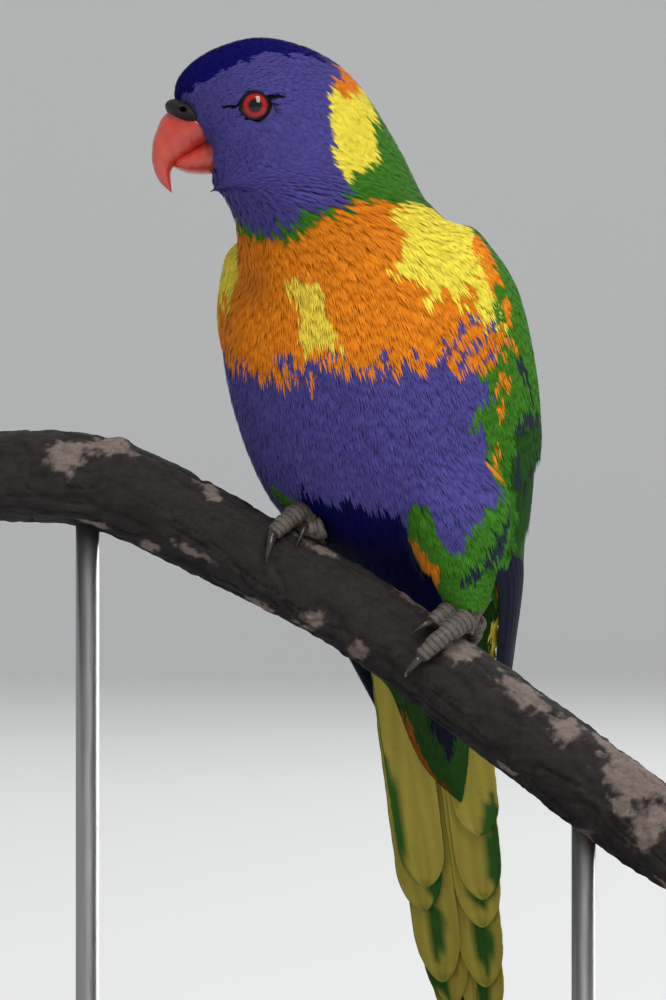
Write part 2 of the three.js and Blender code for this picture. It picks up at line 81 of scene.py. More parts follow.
def blended(share, first, second):
    """Two colours mixed at each point: one less the share of the first, and the share of the second."""
    return first * (1 - share[..., None]) + second * share[..., None]


def painted(colour, shape):
    """One colour at every point of a shape."""
    return np.broadcast_to(colour, (*shape, 3)).copy()


def unit(vectors):
    """Vectors divided by their lengths."""
    return vectors / np.maximum(np.linalg.norm(vectors, axis=-1, keepdims=True), 1e-9)


def directions(pitch, yaw):
    """Ahead, back and left of a part that points yaw degrees to the viewer's left and pitch degrees up.

    Ahead is the level direction times cos pitch plus up times sin pitch; back is at a right angle to it.
    """
    pitch, yaw = np.radians(floats(pitch, yaw))[..., None]
    level = np.concatenate([-np.sin(yaw), -np.cos(yaw), 0 * yaw], -1)
    up = np.array([0.0, 0.0, 1.0])
    ahead, back = level * np.cos(pitch) + up * np.sin(pitch), up * np.cos(pitch) - level * np.sin(pitch)
    return ahead, back, np.concatenate([np.cos(yaw), -np.sin(yaw), 0 * yaw], -1)


def placed(origin, dirs, ahead=0.0, back=0.0, left=0.0):
    """The origin plus a distance along each of three directions."""
    amounts = [np.asarray(a, float)[..., None] for a in (ahead, back, left)]
    return np.asarray(origin, float) + sum(a * d for a, d in zip(amounts, dirs))


def smooth(values, t):
    """The smooth curve through evenly spaced rows of values, read at t from 0 to their count less one."""
    values, t = np.asarray(values, float), np.asarray(t, float)
    last = len(values) - 1
    i = np.clip(np.floor(t).astype(int), 0, last - 1)
    f = (t - i).reshape(t.shape + (1,) * (values.ndim - 1))
    a, b, c, d = (values[np.clip(i + k, 0, last)] for k in (-1, 0, 1, 2))
    square, cube = 2 * a - 5 * b + 4 * c - d, 3 * b - a - 3 * c + d
    return 0.5 * (2 * b + (c - a) * f + square * f**2 + cube * f**3)


def read_table(table, row, column):
    """A table read between its rows and columns by even blending."""
    row = np.clip(row, 0, table.shape[0] - 1.001)
    column = np.clip(column, 0, table.shape[1] - 1.001)
    i, j = row.astype(int), column.astype(int)
    f, g = row - i, column - j
    low = table[i, j] * (1 - f) + table[i + 1, j] * f
    return low * (1 - g) + (table[i, j + 1] * (1 - f) + table[i + 1, j + 1] * f) * g


TRUNK = directions(TRUNK_PITCH, TRUNK_YAW)
TAIL = directions(TAIL_PITCH, TAIL_YAW)
HEAD = directions(0, HEAD_YAW)


def on_trunk(ahead, back=0.0, left=0.0):
    """The trunk's own point plus distances along its three directions."""
    return placed(TRUNK_AT, TRUNK, ahead, back, left)


TAIL_ROOT = on_trunk(-55, 4, -3)


def on_tail(down, back=0.0, left=0.0):
    """The tail's root plus distances down it, off its back and to the left."""
    return placed(TAIL_ROOT, TAIL, -np.asarray(down, float), back, left)


def on_head(ahead, up=0.0, left=0.0):
    """The head's own point plus distances ahead, up and to the left."""
    return placed(HEAD_AT, HEAD, ahead, up, left)


# Sections from the tail coverts' tip to the bill: centre, pitch, yaw, half width, back and front reach
BODY = np.array([
    [*on_tail(57, -3, 6), 74, 27, 0, 0, 0],
    [*on_tail(46, -1.6, 2), 74, 27, 6.8, 2.4, 3.4],
    [*on_tail(24, -0.4, 0.6), 73, 28, 12.5, 6.2, 7.6],
    [*on_tail(3), 70, 30, 19.5, 11.5, 12.5],
    [*on_trunk(-38, 3, -1), 66, 30, 26.5, 18.5, 20.5],
    [*on_trunk(-19), 64, 30, 34, 25.5, 28.5],
    [*on_trunk(2), 64, 30, 37, 29, 32],
    [*on_trunk(22), 65, 30, 35.6, 28.5, 31.6],
    [*on_trunk(38, 0.5, 0.8), 69, 34, 30.4, 26, 26.6],
    [0.6, -9.5, 239.8, 79, 44, 26, 24.6, 23.5],
    [-3, -12.5, 247.2, 88, 64, 22, 25.2, 25],
    [-8.2, -12.4, 255.4, 70, 80, 18.5, 23.3, 23.8],
    [-14, -12, 263.6, 45, 88, 16.4, 21.8, 22],
    [-22.4, -12, 267.6, 22, 90, 14.4, 19.4, 19.6],
    [-28.6, -12, 267.4, 4, 90, 11.6, 16.4, 17],
    [-34, -12, 266.2, -25, 90, 7.4, 10.4, 10.4],
    [-39.2, -12, 267.8, -32, 90, 0, 0, 0],
])
BODY_END = len(BODY) - 1
# Where the coat draws in between neck and breast: middle and width in sections, then in degrees, and depth
DENT_S, DENT_TURN, DENT_DEEP = (8.15, 0.42), (-141, 20), 2.8


def body(s, turn, lift=0.0):
    """A point of the body: its section number, degrees from the middle of the back, lift off the outline.

    Each section is an ellipse whose halves to the back and to the front have their own reach.
    """
    s, turn, lift = floats(s, turn, lift)
    row = smooth(BODY, np.clip(s, 0, BODY_END))
    _, back, left = directions(row[..., 3], row[..., 4])
    past, round_it = (s - DENT_S[0]) / DENT_S[1], (turn - DENT_TURN[0]) / DENT_TURN[1]
    lift = lift - DENT_DEEP * np.exp(-(past**2) - round_it**2)
    turn = np.radians(turn)
    reach = np.where(np.cos(turn) > 0, row[..., 6], row[..., 7])
    deep = np.maximum(np.maximum(reach, 0) + lift, 0.02) * np.cos(turn)
    wide = np.maximum(np.maximum(row[..., 5], 0) + lift, 0.02) * np.sin(turn)
    return row[..., :3] + deep[..., None] * back + wide[..., None] * left


# How far the skin lies under the body's outline: sections, depths
COAT_DEPTHS = ([0, 2, 4, 6, 8, 9.5, 11, 13, 15, 16], [1.4, 2.4, 3.6, 4, 3.4, 2.6, 1.8, 1.3, 0.8, 0.5])


def coat_depth(s):
    """How far the skin lies under the body's outline at a section, straight between the table's values."""
    return np.interp(s, *COAT_DEPTHS)


# The folded wings' shell: distance ahead, half width, reach to the back
SHELL = np.array([
    [45.5, 27, 21], [40.5, 36, 29], [24, 42.2, 34.8], [2, 42.8, 35], [-18, 40.6, 31.5],
    [-38, 34.6, 25], [-56, 30.5, 17.5], [-74, 25, 13.5], [-92, 20, 11],
])
SHELL_BEND = -3
QUILL_END = -91
# The feathered arm: upper edge and lower edge in degrees, thickness, at the shell's first rows
ARM = np.array([
    [72, 78, 1], [46, 96, 9], [31, 100, 11], [24, 99, 11], [22, 98, 10], [23, 100, 7], [34, 105, 4],
    [66, 92, 0.8],
])
ARM_AHEAD = np.array([45.5, 40.5, 24, 2, -18, -38, -56, -66])
ARM_ARCH, ARM_ROUND, ARM_FALL = 2.6, 0.6, 1.5


def row_at(heads, ahead):
    """The row number at which a falling list of distances passes a distance."""
    return np.interp(-np.asarray(ahead, float), -heads, np.arange(len(heads)))


def shell_section(ahead):
    """The shell's half width, reach to the back and sideways bend at a distance ahead.

    The bend grows with the square of the distance behind the second row.
    """
    wide, deep = np.moveaxis(smooth(SHELL[:, 1:], row_at(SHELL[:, 0], ahead)), -1, 0)
    share = np.clip((SHELL[1, 0] - ahead) / (SHELL[1, 0] - QUILL_END), 0, None)
    return wide, deep, SHELL_BEND * share**2


def shell(side, ahead, turn, lift=0.0):
    """A point of the shell on one side: distance ahead, degrees from the middle of the back, lift.

    It lies on an ellipse, moved sideways by the bend.
    """
    ahead, turn, lift = floats(ahead, turn, lift)
    wide, deep, bend = shell_section(ahead)
    turn = np.radians(turn)
    return on_trunk(ahead, (deep + lift) * np.cos(turn), side * (wide + lift) * np.sin(turn) + bend)


def arm_edges(ahead):
    """The upper edge, the lower edge and the thickness of the feathered arm at a distance ahead."""
    return np.moveaxis(smooth(ARM, row_at(ARM_AHEAD, ahead)), -1, 0)


def arm_drop(ahead, turn):
    """How far the arm's outer face lies off the shell: a flat lens whose edges dip and fall away."""
    upper, lower, thick = arm_edges(ahead)
    across = ((upper + lower) / 2 - turn) / np.maximum((lower - upper) / 2, 1)
    inside = np.clip(across, -1, 1)
    bulge = np.sqrt(1 - inside**2) ** ARM_ROUND
    return thick / 2 * (bulge - 1) - ARM_ARCH * inside**2 - ARM_FALL * np.maximum(np.abs(across) - 1, 0)


def wing(side, share=1.0, level=0.0):
    """The outer face of one folded wing, or a flatter one with a share of its drop and its own level.

    It is the shell lifted by the drop, as a surface of distance ahead, degrees and lift.
    """
    def face(ahead, turn, lift=0.0):
        """The face's point at a distance ahead and at degrees, lifted."""
        return shell(side, ahead, turn, lift + share * arm_drop(ahead, turn) + level)
    return face


def wing_place(points):
    """Where points are on the wings' shell, the way back from shell(): distance ahead, degrees, lift."""
    ahead, back, left = ((points - np.array(TRUNK_AT, float)) @ d for d in TRUNK)
    wide, deep, bend = shell_section(ahead)
    across, up = (left - bend) / wide, back / deep
    turn = np.arctan2(np.abs(across), up)
    size = np.hypot(wide * np.sin(turn), deep * np.cos(turn))
    return ahead, np.degrees(turn), (np.hypot(across, up) - 1) * size


# The branch: its middle line, which it follows with a slow turn towards the viewer
PERCH_LINE = np.array([
    [-92, 177.2], [-68, 176.6], [-53, 173.4], [-36, 166], [-13, 154], [11, 139.6], [38, 120], [66, 100],
    [92, 81],
])
PERCH_TURN = -0.2
PERCH_RADIUS = 11.4
PERCH_POINTS = np.stack([PERCH_LINE[:, 0], PERCH_TURN * PERCH_LINE[:, 0], PERCH_LINE[:, 1]], -1)


def centripetal(points, fine):
    """A centripetal Catmull-Rom curve through points, with fine steps in each span."""
    ends = [2 * points[0] - points[1], *points, 2 * points[-1] - points[-2]]
    spans = []
    for a, b, c, d in zip(ends, ends[1:], ends[2:], ends[3:]):
        pairs = ((a, b), (b, c), (c, d))
        t = np.cumsum([0] + [math.sqrt(np.linalg.norm(q - p)) for p, q in pairs])
        x = np.linspace(t[1], t[2], fine, endpoint=False)[:, None]
        low = [((t[i + 1] - x) * p + (x - t[i]) * q) / (t[i + 1] - t[i]) for i, (p, q) in enumerate(pairs)]
        mid = [((t[i + 2] - x) * low[i] + (x - t[i]) * low[i + 1]) / (t[i + 2] - t[i]) for i in (0, 1)]
        spans.append(((t[2] - x) * mid[0] + (x - t[1]) * mid[1]) / (t[2] - t[1]))
    return np.concatenate(spans + [points[-1:]])


PERCH_CURVE = centripetal(PERCH_POINTS, 60)
PERCH_RUN = np.concatenate([[0], np.cumsum(np.linalg.norm(np.diff(PERCH_CURVE, axis=0), axis=1))])
PERCH_LENGTH = PERCH_RUN[-1]


def on_curve(v):
    """The point of the branch's middle line at a share of its length."""
    at = np.asarray(v, float) * PERCH_LENGTH
    return np.stack([np.interp(at, PERCH_RUN, PERCH_CURVE[:, k]) for k in range(3)], -1)


def perch_at(v):
    """The branch at a share of its length: centre, run, upward side, side to the viewer, radius.

    The radius swells and shrinks by a twentieth as a slow wave, and thins by 6 in 100 to the far end.
    """
    v = np.asarray(v, float)
    run = unit(on_curve(np.minimum(v + 0.004, 1)) - on_curve(np.maximum(v - 0.004, 0)))
    up = unit(np.array([0, 0, 1.0]) - run * run[..., 2:])
    radius = PERCH_RADIUS * (1 + 0.05 * np.sin(9 * v) - 0.06 * v)
    return on_curve(v), run, up, np.cross(run, up), radius


def perch_share(x):
    """The share of the branch's length at which its middle line reaches x."""
    return np.interp(x, PERCH_CURVE[:, 0], PERCH_RUN / PERCH_LENGTH)


def beside_perch(share, turn, along, off):
    """A point off the bark: degrees round the branch from its top, distance along it from the foot."""
    centre, _, up, near, radius = perch_at(share + np.asarray(along, float) / PERCH_LENGTH)
    reach, turn = (radius + off)[..., None], np.radians(turn)[..., None]
    return centre + up * reach * np.cos(turn) + near * reach * np.sin(turn)


# The legs
FOOT_X = {"left": 24, "right": -13.4}
HIP = {"left": (-10, -13.5, 27), "right": (-6, -12, -18)}
THIGH_GIRTH = {"left": 1, "right": 0.9}
THIGH_RADII = [0, 10.5, 11.5, 10, 7.4, 4.8]
TARSUS_LEAN, TARSUS_HIGH, TARSUS_ANKLE, TARSUS_SOLE = -4, 12.5, 3, 4.7
ANKLE_HIGH, ANKLE_ALONG, BARK_CLEAR = 4.8, 0.5, 0.75
TOE_RADIUS, CLAW_RADIUS = 2.3, 1.45
# Each toe: degrees round the branch at its root, its end and its claw's tip; distances along it; girth
TOES = {
    "left": {
        "inner_front": ((6, 44, 68), (-3.2, -4.4, -6.6), 0.94),
        "outer_front": ((14, 84, 114), (1.4, -1.2, -1.6), 1.04),
        "inner_back": ((-12, -62, -90), (-2.6, -4.4, -5), 0.9),
        "outer_back": ((-12, -88, -116), (2.6, 4.2, 4), 0.98),
    },
    "right": {
        "inner_front": ((14, 24, 50), (5.6, 1.9, 2.8), 0.94),
        "outer_front": ((4, 56, 88), (-1.4, -3.4, -0.8), 1.04),
        "inner_back": ((-12, -60, -88), (2.6, 4.4, 5), 0.9),
        "outer_back": ((-12, -84, -112), (-2.6, -4.2, -4), 0.98),
    },
}


def thigh(name):
    """The feathered thigh as a surface: 1 at the hip to 0 at the ankle, degrees round it, lift.

    Also gives the way back from points to these three.
    """
    hip = on_trunk(*HIP[name])
    ankle = beside_perch(perch_share(FOOT_X[name]), TARSUS_LEAN, ANKLE_ALONG, ANKLE_HIGH)
    axis = unit(ankle - hip)
    across = unit(TRUNK[2] - axis * (TRUNK[2] @ axis))
    deep = np.cross(across, axis)

    def radius(v):
        """Its radius from the hip to the ankle, the smooth curve through the table."""
        return THIGH_GIRTH[name] * smooth(THIGH_RADII, 5 * np.clip(v, 0, 1))

    def point(p, turn, lift=0.0):
        """A circle of that radius about the straight line from hip to ankle."""
        p, turn, lift = floats(p, turn, lift)
        v = 1 - np.clip(p, -0.12, 1)
        reach = np.maximum(radius(v) + lift, 0.05)[..., None]
        turn = np.radians(turn)[..., None]
        return hip + (ankle - hip) * v[..., None] + (across * np.cos(turn) + deep * np.sin(turn)) * reach

    def place(points):
        """The share along the line, the angle about it and the distance off the circle."""
        v = (points - hip) @ axis / np.linalg.norm(ankle - hip)
        aside = points - hip - np.clip(v, 0, 1)[..., None] * (ankle - hip)
        turn = np.degrees(np.arctan2(aside @ deep, aside @ across))
        return 1 - v, turn, np.linalg.norm(aside, axis=-1) - radius(v)

    return point, place


THIGHS = {name: thigh(name) for name in SIDES}
OVER_S, OVER_TURN = np.linspace(1.5, 9.5, 161), np.linspace(-180, 180, 241)


def spread(table, reach):
    """A table with its high places widened by some cells, then softened twice; sideways it wraps."""
    for step in range(3):
        for axis, mode in ((0, "edge"), (1, "wrap")):
            width = [(reach, reach) if k == axis else (0, 0) for k in (0, 1)]
            views = np.lib.stride_tricks.sliding_window_view(np.pad(table, width, mode), 2 * reach + 1, axis)
            table = views.mean(-1) if step else views.max(-1)
    return table


LIFT_STEP, LIFT_MOST = 0.5, 26
# The coat is lifted over the thigh above this share of it, and over the wing's part in this span ahead and
# from these degrees to just past its lower edge
LEG_ABOVE, WING_SPAN, WING_FROM, WING_PAST = 0.2, (-74, 45), 60, 2
# Behind this distance only the quills' front edge, from and to these degrees, lifts the body's coat
QUILL_FRONT = (-44, 98, 107)


def rises():
    """How far the body's points go out to lie on the thighs, and on the wings' fronts: one table each.

    It is the greatest lift, in even steps, at which the point is still inside them.
    """
    legs, wings = np.zeros((2, OVER_S.size, OVER_TURN.size))
    for lift in np.arange(LIFT_STEP, LIFT_MOST, LIFT_STEP):
        points = body(OVER_S[:, None], OVER_TURN[None], lift)
        for name in SIDES:
            p, _, off = THIGHS[name][1](points)
            legs[(off < 0) & (p > LEG_ABOVE)] = lift
        ahead, turn, off = wing_place(points)
        _, lower, _ = arm_edges(ahead)
        quills = ahead < QUILL_FRONT[0]
        start = np.where(quills, QUILL_FRONT[1], WING_FROM)
        end = np.where(quills, QUILL_FRONT[2], lower + WING_PAST)
        inner = (turn > start) & (turn < end) & (ahead > WING_SPAN[0]) & (ahead < WING_SPAN[1])
        wings[inner & (off < arm_drop(ahead, turn))] = lift
    return spread(legs, 2), spread(wings, 2)


LEG_RISE, WING_RISE = rises()


def rise_at(table, s, turn):
    """A lift read from one of the tables at a section and at degrees from the middle of the back."""
    column = np.mod(np.asarray(turn, float) + 180, 360) / (OVER_TURN[1] - OVER_TURN[0])
    return read_table(table, (s - OVER_S[0]) / (OVER_S[1] - OVER_S[0]), column)


def beside_legs(s, turn, lift=0.0):
    """A point of the body's coat where it runs over the wings' fronts only."""
    s, turn = floats(s, turn)
    return body(s, turn, lift + rise_at(WING_RISE, s, turn))


def over_body(s, turn, lift=0.0):
    """A point of the body's coat: the body's own point, lifted over the thighs and the wings' fronts."""
    s, turn = floats(s, turn)
    return body(s, turn, lift + np.maximum(rise_at(WING_RISE, s, turn), rise_at(LEG_RISE, s, turn)))


# Noise from tables of seeded random numbers
FLAT_TABLE = np.random.default_rng(11).random((256, 256))
DEEP_TABLE = np.random.default_rng(12).random((32, 32, 32))


def ripple(x, y):
    """Smooth noise from 0 to 1 over a plane: random numbers at whole coordinates, eased between them."""
    x, y = floats(x, y)
    i, j = np.floor(x).astype(int), np.floor(y).astype(int)
    fx, fy = x - i, y - j
    fx, fy = fx * fx * (3 - 2 * fx), fy * fy * (3 - 2 * fy)
    (a, b), (c, d) = ([FLAT_TABLE[(i + k) & 255, (j + row) & 255] for k in (0, 1)] for row in (0, 1))
    return (a * (1 - fx) + b * fx) * (1 - fy) + (c * (1 - fx) + d * fx) * fy


def lumps(points):
    """Smooth noise from 0 to 1 in space: random numbers at whole coordinates, eased between the eight."""
    i = np.floor(points).astype(int)
    f = points - i
    f = f * f * (3 - 2 * f)
    total = 0
    for corner in np.ndindex(2, 2, 2):
        share = np.prod(np.where(corner, f, 1 - f), axis=-1)
        a, b, c = np.moveaxis((i + corner) & 31, -1, 0)
        total = total + share * DEEP_TABLE[a, b, c]
    return total


def linear(red, green, blue):
    """A colour seen on a screen, 0 to 255, as light: the power of 2.4 of the screen's value, nearly."""
    c = np.array([red, green, blue]) / 255
    return np.where(c <= 0.04045, c / 12.92, ((c + 0.055) / 1.055) ** 2.4)


VIOLET, CAP_NAVY, BELLY_NAVY = linear(76, 70, 138), linear(12, 10, 96), linear(8, 8, 70)
ORANGE, YELLOW, SOFT_YELLOW = linear(222, 126, 24), linear(236, 218, 70), linear(226, 200, 66)
GREEN, DARK_GREEN, SLATE = linear(60, 118, 32), linear(38, 74, 28), linear(40, 50, 58)
QUILL_NAVY, RING_BLACK, RUST = linear(26, 27, 48), linear(11, 9, 11), linear(150, 84, 28)
OLIVE, TAIL_GREEN = linear(166, 154, 66), linear(48, 92, 36)

# Edges of the markings: sections by degrees from the middle of the back, or degrees by section
HEAD_EDGE = ([0, 38, 53, 64, 70, 78, 86, 97, 108, 117, 134, 156, 180],
             [12.02, 11.9, 11.77, 11.55, 11.28, 10.93, 10.53, 10.05, 9.73, 9.5, 9.47, 9.3, 9.07])
COLLAR_EDGE = ([0, 16, 24, 42, 54, 64, 82, 94], [11.4, 11.35, 11.2, 11.03, 10.75, 10.55, 10.4, 10.12])
GORGET_EDGE = ([108, 116, 140, 157, 172, 180], [9.7, 9.42, 9.25, 9.1, 9.0, 9.07])
BREAST_TOP = ([48, 54, 66, 82, 88, 102, 115, 180], [9, 9.2, 9.5, 9.47, 9.62, 9.62, 9.45, 9.45])
BREAST_LOW = ([72, 92, 100, 110, 116, 128, 136, 148, 158, 169, 186, 206, 226, 250, 288],
              [6.5, 6.5, 6.48, 6.53, 6.68, 6.8, 6.88, 6.86, 6.98, 6.97, 6.86, 6.91, 6.93, 6.84, 6.5])
FLANK_EDGE = ([2.2, 2.6, 3.4, 4.57, 4.82, 5, 5.24, 5.39, 5.66, 5.84, 5.97, 6.05, 6.13, 6.28, 6.4, 6.47, 6.55,
               6.62, 6.8, 7.5, 8, 9.3],
              [84, 104, 126, 138, 132, 125, 117, 112, 108, 112, 121, 106, 99, 104, 101, 111, 95, 86, 74,
               62, 57, 50])
NAVY_TOP = ([112, 128, 141, 150, 162, 173, 186, 195, 202, 219, 240],
            [4.2, 4.7, 5.0, 4.9, 5.05, 5.25, 5.35, 5.4, 5.3, 4.9, 4.4])
CAP_EDGE = ([11.9, 12.2, 12.6, 13, 13.5, 14.2, 14.6, 15.2, 16], [0, 25, 36, 41, 54, 61, 62, 56, 70])
# Outlines of the breast's yellow patches in sections and degrees, on each side and across the middle
SIDE_PATCH = [
    (8.5, 48), (8, 58), (7.4, 66), (6.9, 74), (6.72, 84), (6.8, 90), (6.95, 93), (7.01, 98), (7.18, 96),
    (7.24, 101), (7.37, 96), (7.6, 94), (7.43, 105), (7.67, 102), (7.6, 108), (7.46, 118), (7.5, 123),
    (7.66, 112), (7.77, 120), (7.9, 113), (8.04, 121), (8.19, 129), (8.27, 121), (8.53, 112), (8.73, 104),
    (9.05, 106), (9.24, 98), (9.44, 82), (9.57, 66), (9.27, 58), (8.9, 52),
]
MIDDLE_PATCH = [
    (8.24, 184), (8.32, 171), (8.2, 163), (7.8, 166), (7.5, 160), (7.3, 159), (7.31, 176), (7.5, 181),
    (7.83, 178), (8.1, 182),
]
# Violet streaks that run up into the orange: foot, tip, and half width in mm
BREAST_STREAKS = [
    ((6.73, 128), (7.18, 99), 1.5), ((6.7, 113), (7.04, 93), 1.3), ((6.56, 105), (6.8, 88), 0.9),
    ((7.15, 184), (7.22, 198), 0.7), ((6.98, 168), (7.14, 190), 1.3), ((6.96, 166), (7.21, 180), 0.9),
    ((7.11, 174), (7.2, 160), 0.7), ((6.97, 178), (7.05, 196), 0.8), ((6.95, 208), (7.07, 226), 1.0),
    ((7.04, 208), (7.18, 215), 0.6), ((6.99, 154), (7.16, 138), 0.9), ((6.9, 151), (7.02, 130), 0.9),
]
# Orange spots of the flank: middle and half size in sections and degrees
FLANK_SPOTS = [(6.26, 95, 0.14, 4.5), (5.89, 97, 0.07, 2.4), (5.5, 102, 0.08, 2.6), (5.24, 108, 0.09, 7),
               (3.42, 110, 0.2, 4)]
# Outline of the flank's yellow strip in sections and degrees
YELLOW_STRIP = [(3.18, 108), (2.8, 103.5), (2.1, 98), (2.2, 108), (2.6, 112.5), (2.82, 113.5), (3.04, 112)]
# Millimetres to one section and to one degree on the breast
SECTION_LONG, DEGREE_WIDE = 19.5, 0.57


def in_head(points):
    """Distances ahead, up and to the left of the head's own point."""
    from_head = points - np.array(HEAD_AT, float)
    return [from_head @ d for d in HEAD]


# The dark lines at the eye's corners, from start to end, ahead of and above the head's own point
EYE_CORNERS = [((4.4, -1.4), (8.0, -1.5)), ((-4.2, 1.0), (-6.8, 1.3))]


def inside(s, turn, outline):
    """Whether points lie in a closed outline: an odd number of its edges pass on one side of each."""
    odd = np.zeros(np.shape(s), bool)
    for (s0, t0), (s1, t1) in zip(outline, outline[1:] + outline[:1]):
        if t0 != t1:
            odd ^= ((t0 > turn) != (t1 > turn)) & (s < (s1 - s0) * (turn - t0) / (t1 - t0) + s0)
    return odd


def to_line(x, y, run):
    """The share of a line passed, 0 to 1, and the distance off it, for points measured from its start."""
    share = np.clip((x * run[0] + y * run[1]) / (run @ run), 0, 1)
    return share, np.hypot(x - share * run[0], y - share * run[1])


# The collar's orange part starts at this section and reaches this many degrees from the back's middle
COLLAR_ORANGE = (11.6, 45)
# The vent's first section, and the dark patch and the rusty one under the tail's root: sections from and to,
# middle and half width in degrees
VENT_END = 2.9
TAIL_PATCH, RUSTY_PATCH = (1.16, 1.72, 156, 32), (0.62, 1.7, 240, 21)
BREAST_END, THROAT_TURN, NAPE_TURN = 9.75, 108, 95


def markings(s, turn):
    """The plumage's colour at a section and at degrees from the middle of the back, -180 to 180.

    Each marking is the part of the body on one side of an edge, or in an outline. Noise that is drawn out
    along the feathers moves the points first, so that all the edges are fringed.
    """
    s, turn = floats(s, turn)
    place = (s, turn)
    spikes = ripple(turn / 2.4, s * 0.9 + 9) - 0.5 + 0.5 * (ripple(turn / 1.1, s * 1.6) - 0.5)
    s, turn = s + 0.22 * spikes, turn + 3.5 * (ripple(s * 4.5, turn / 9) - 0.5)
    side, round_turn = np.abs(turn), np.mod(turn, 360)
    colour = painted(GREEN, s.shape)
    low = np.interp(round_turn, *BREAST_LOW)
    flank = side < np.interp(s, *FLANK_EDGE) + 5 * (ripple(s * 7, turn / 20) - 0.5)
    body_zone = (s < BREAST_END) & ~flank
    breast = body_zone & (s > low) & (s < np.interp(side, *BREAST_TOP))
    streaks = np.zeros(s.shape, bool)
    for foot, tip, wide in BREAST_STREAKS:
        run = np.array([(tip[0] - foot[0]) * SECTION_LONG, (tip[1] - foot[1]) * DEGREE_WIDE])
        off_s = (place[0] + 0.04 * spikes - foot[0]) * SECTION_LONG
        share, off = to_line(off_s, (np.mod(place[1], 360) - foot[1]) * DEGREE_WIDE, run)
        streaks |= off < 0.85 * wide * (1 - 0.6 * share)
    belly = body_zone & ((s <= low) | (breast & streaks))
    navy = belly & (s < np.interp(round_turn, *NAVY_TOP))
    vent = s < VENT_END + 0.5 * ripple(turn / 9, s)
    flank_spots = np.zeros(s.shape, bool)
    for at, around, long, wide in FLANK_SPOTS:
        reach = np.hypot((s - at) / long, (side - around) / wide)
        flank_spots |= reach < 0.6 + 0.4 * ripple(turn / 1.5, s * 12)
    head = s > np.interp(side, *HEAD_EDGE)
    collar = ~head & (side < NAPE_TURN) & (s > np.interp(side, *COLLAR_EDGE))
    gorget = ~head & (side > THROAT_TURN) & (s > np.interp(side, *GORGET_EDGE))
    cap_edge = np.interp(s, *CAP_EDGE) + 14 * (ripple(s * 8 + side / 12, side / 26) - 0.5)
    first, last, middle, half = TAIL_PATCH
    off = np.abs(round_turn - middle)
    tail_patch = (s < last) & (s > first + off / 60) & (off < half)
    first, last, middle, half = RUSTY_PATCH
    rusty = (s < last) & (s > first) & (np.abs(round_turn - middle) < half)
    for mask, paint in (
        (breast, ORANGE), (breast & inside(s, side, SIDE_PATCH), YELLOW),
        (breast & inside(s, round_turn, MIDDLE_PATCH), SOFT_YELLOW), (belly, VIOLET), (navy, BELLY_NAVY),
        (vent, DARK_GREEN), (flank_spots, ORANGE), (inside(s, side, YELLOW_STRIP), YELLOW),
        (tail_patch, QUILL_NAVY), (rusty, RUST), (head, VIOLET), (collar, YELLOW),
        (collar & (s > COLLAR_ORANGE[0]) & (side < COLLAR_ORANGE[1]), ORANGE), (gorget, GREEN),
        (head & (side < cap_edge), CAP_NAVY),
    ):
        colour[mask] = paint
    ahead, up, left = in_head(body(*place))
    on_cheek = (place[0] > 12) & (np.abs(left) > 8)
    for start, end in EYE_CORNERS:
        share, off = to_line(ahead - start[0], up - start[1], np.array(end) - start)
        colour[(off < 0.5 * (1 - 0.6 * share)) & on_cheek] = RING_BLACK
    return colour


# The thigh: the violet wedge's lower edge by degrees from its middle, and the dark streak's outline
WEDGE_MIDDLE = 288  # degrees round the thigh
WEDGE_EDGE = ([-90, -60, -30, -18, -16, -5, 4, 14, 23, 34, 46, 90, 100],
              [1.2, 0.9, 0.77, 0.68, 0.54, 0.46, 0.46, 0.51, 0.6, 0.69, 0.73, 0.86, 1.2])
DUSK = [(0.7, 16), (0.55, 6), (0.4, -1), (0.26, -38), (0.24, -72), (0.3, -66), (0.36, -38), (0.48, -21),
        (0.63, -7)]
# The orange inner edge of the thigh, between two angles: degrees with the highest and the lowest share
INNER_SPAN = (205, 264)
INNER_TOP, INNER_LOW = ([215, 238, 264], [0.5, 0.44, 0.36]), ([227, 240, 264], [0.2, 0.22, 0.34])


def thigh_markings(name):
    """The thigh's colours: green, a violet wedge that comes down from the belly, an orange inner edge."""
    def paint(p, turn):
        """The colour at a share of the thigh and at degrees round it, with edges that noise frays."""
        p, turn = floats(p, turn)
        around = np.mod(turn * SIDES[name], 360) + 8 * (ripple(p * 9, turn / 12) - 0.5)
        p = p + 0.1 * (ripple(around / 5, p * 2) - 0.5) + 0.05 * (ripple(around / 2.2, p * 4) - 0.5)
        colour = painted(GREEN, p.shape)
        wedge = p > np.interp(signed(around - WEDGE_MIDDLE), *WEDGE_EDGE)
        inner = (around > INNER_SPAN[0]) & (around < INNER_SPAN[1])
        inner &= (p < np.interp(around, *INNER_TOP)) & (p > np.interp(around, *INNER_LOW))
        dusk = inside(p, signed(around), DUSK)
        for mask, shade in ((inner, ORANGE), (dusk, SLATE), (wedge, VIOLET)):
            colour[mask] = shade
        return colour
    return paint


def coat_markings(s, turn):
    """The body's markings, and the thighs' own where the coat runs over them."""
    s, turn = floats(s, turn)
    colour = markings(s, turn)
    lifted = rise_at(LEG_RISE, s, turn) > 0.8
    points = over_body(s, turn)
    for name in SIDES:
        p, around, off = THIGHS[name][1](points)
        here = lifted & (off < 2.5) & (p < 0.98)
        colour[here] = thigh_markings(name)(p[here], around[here])
    return colour


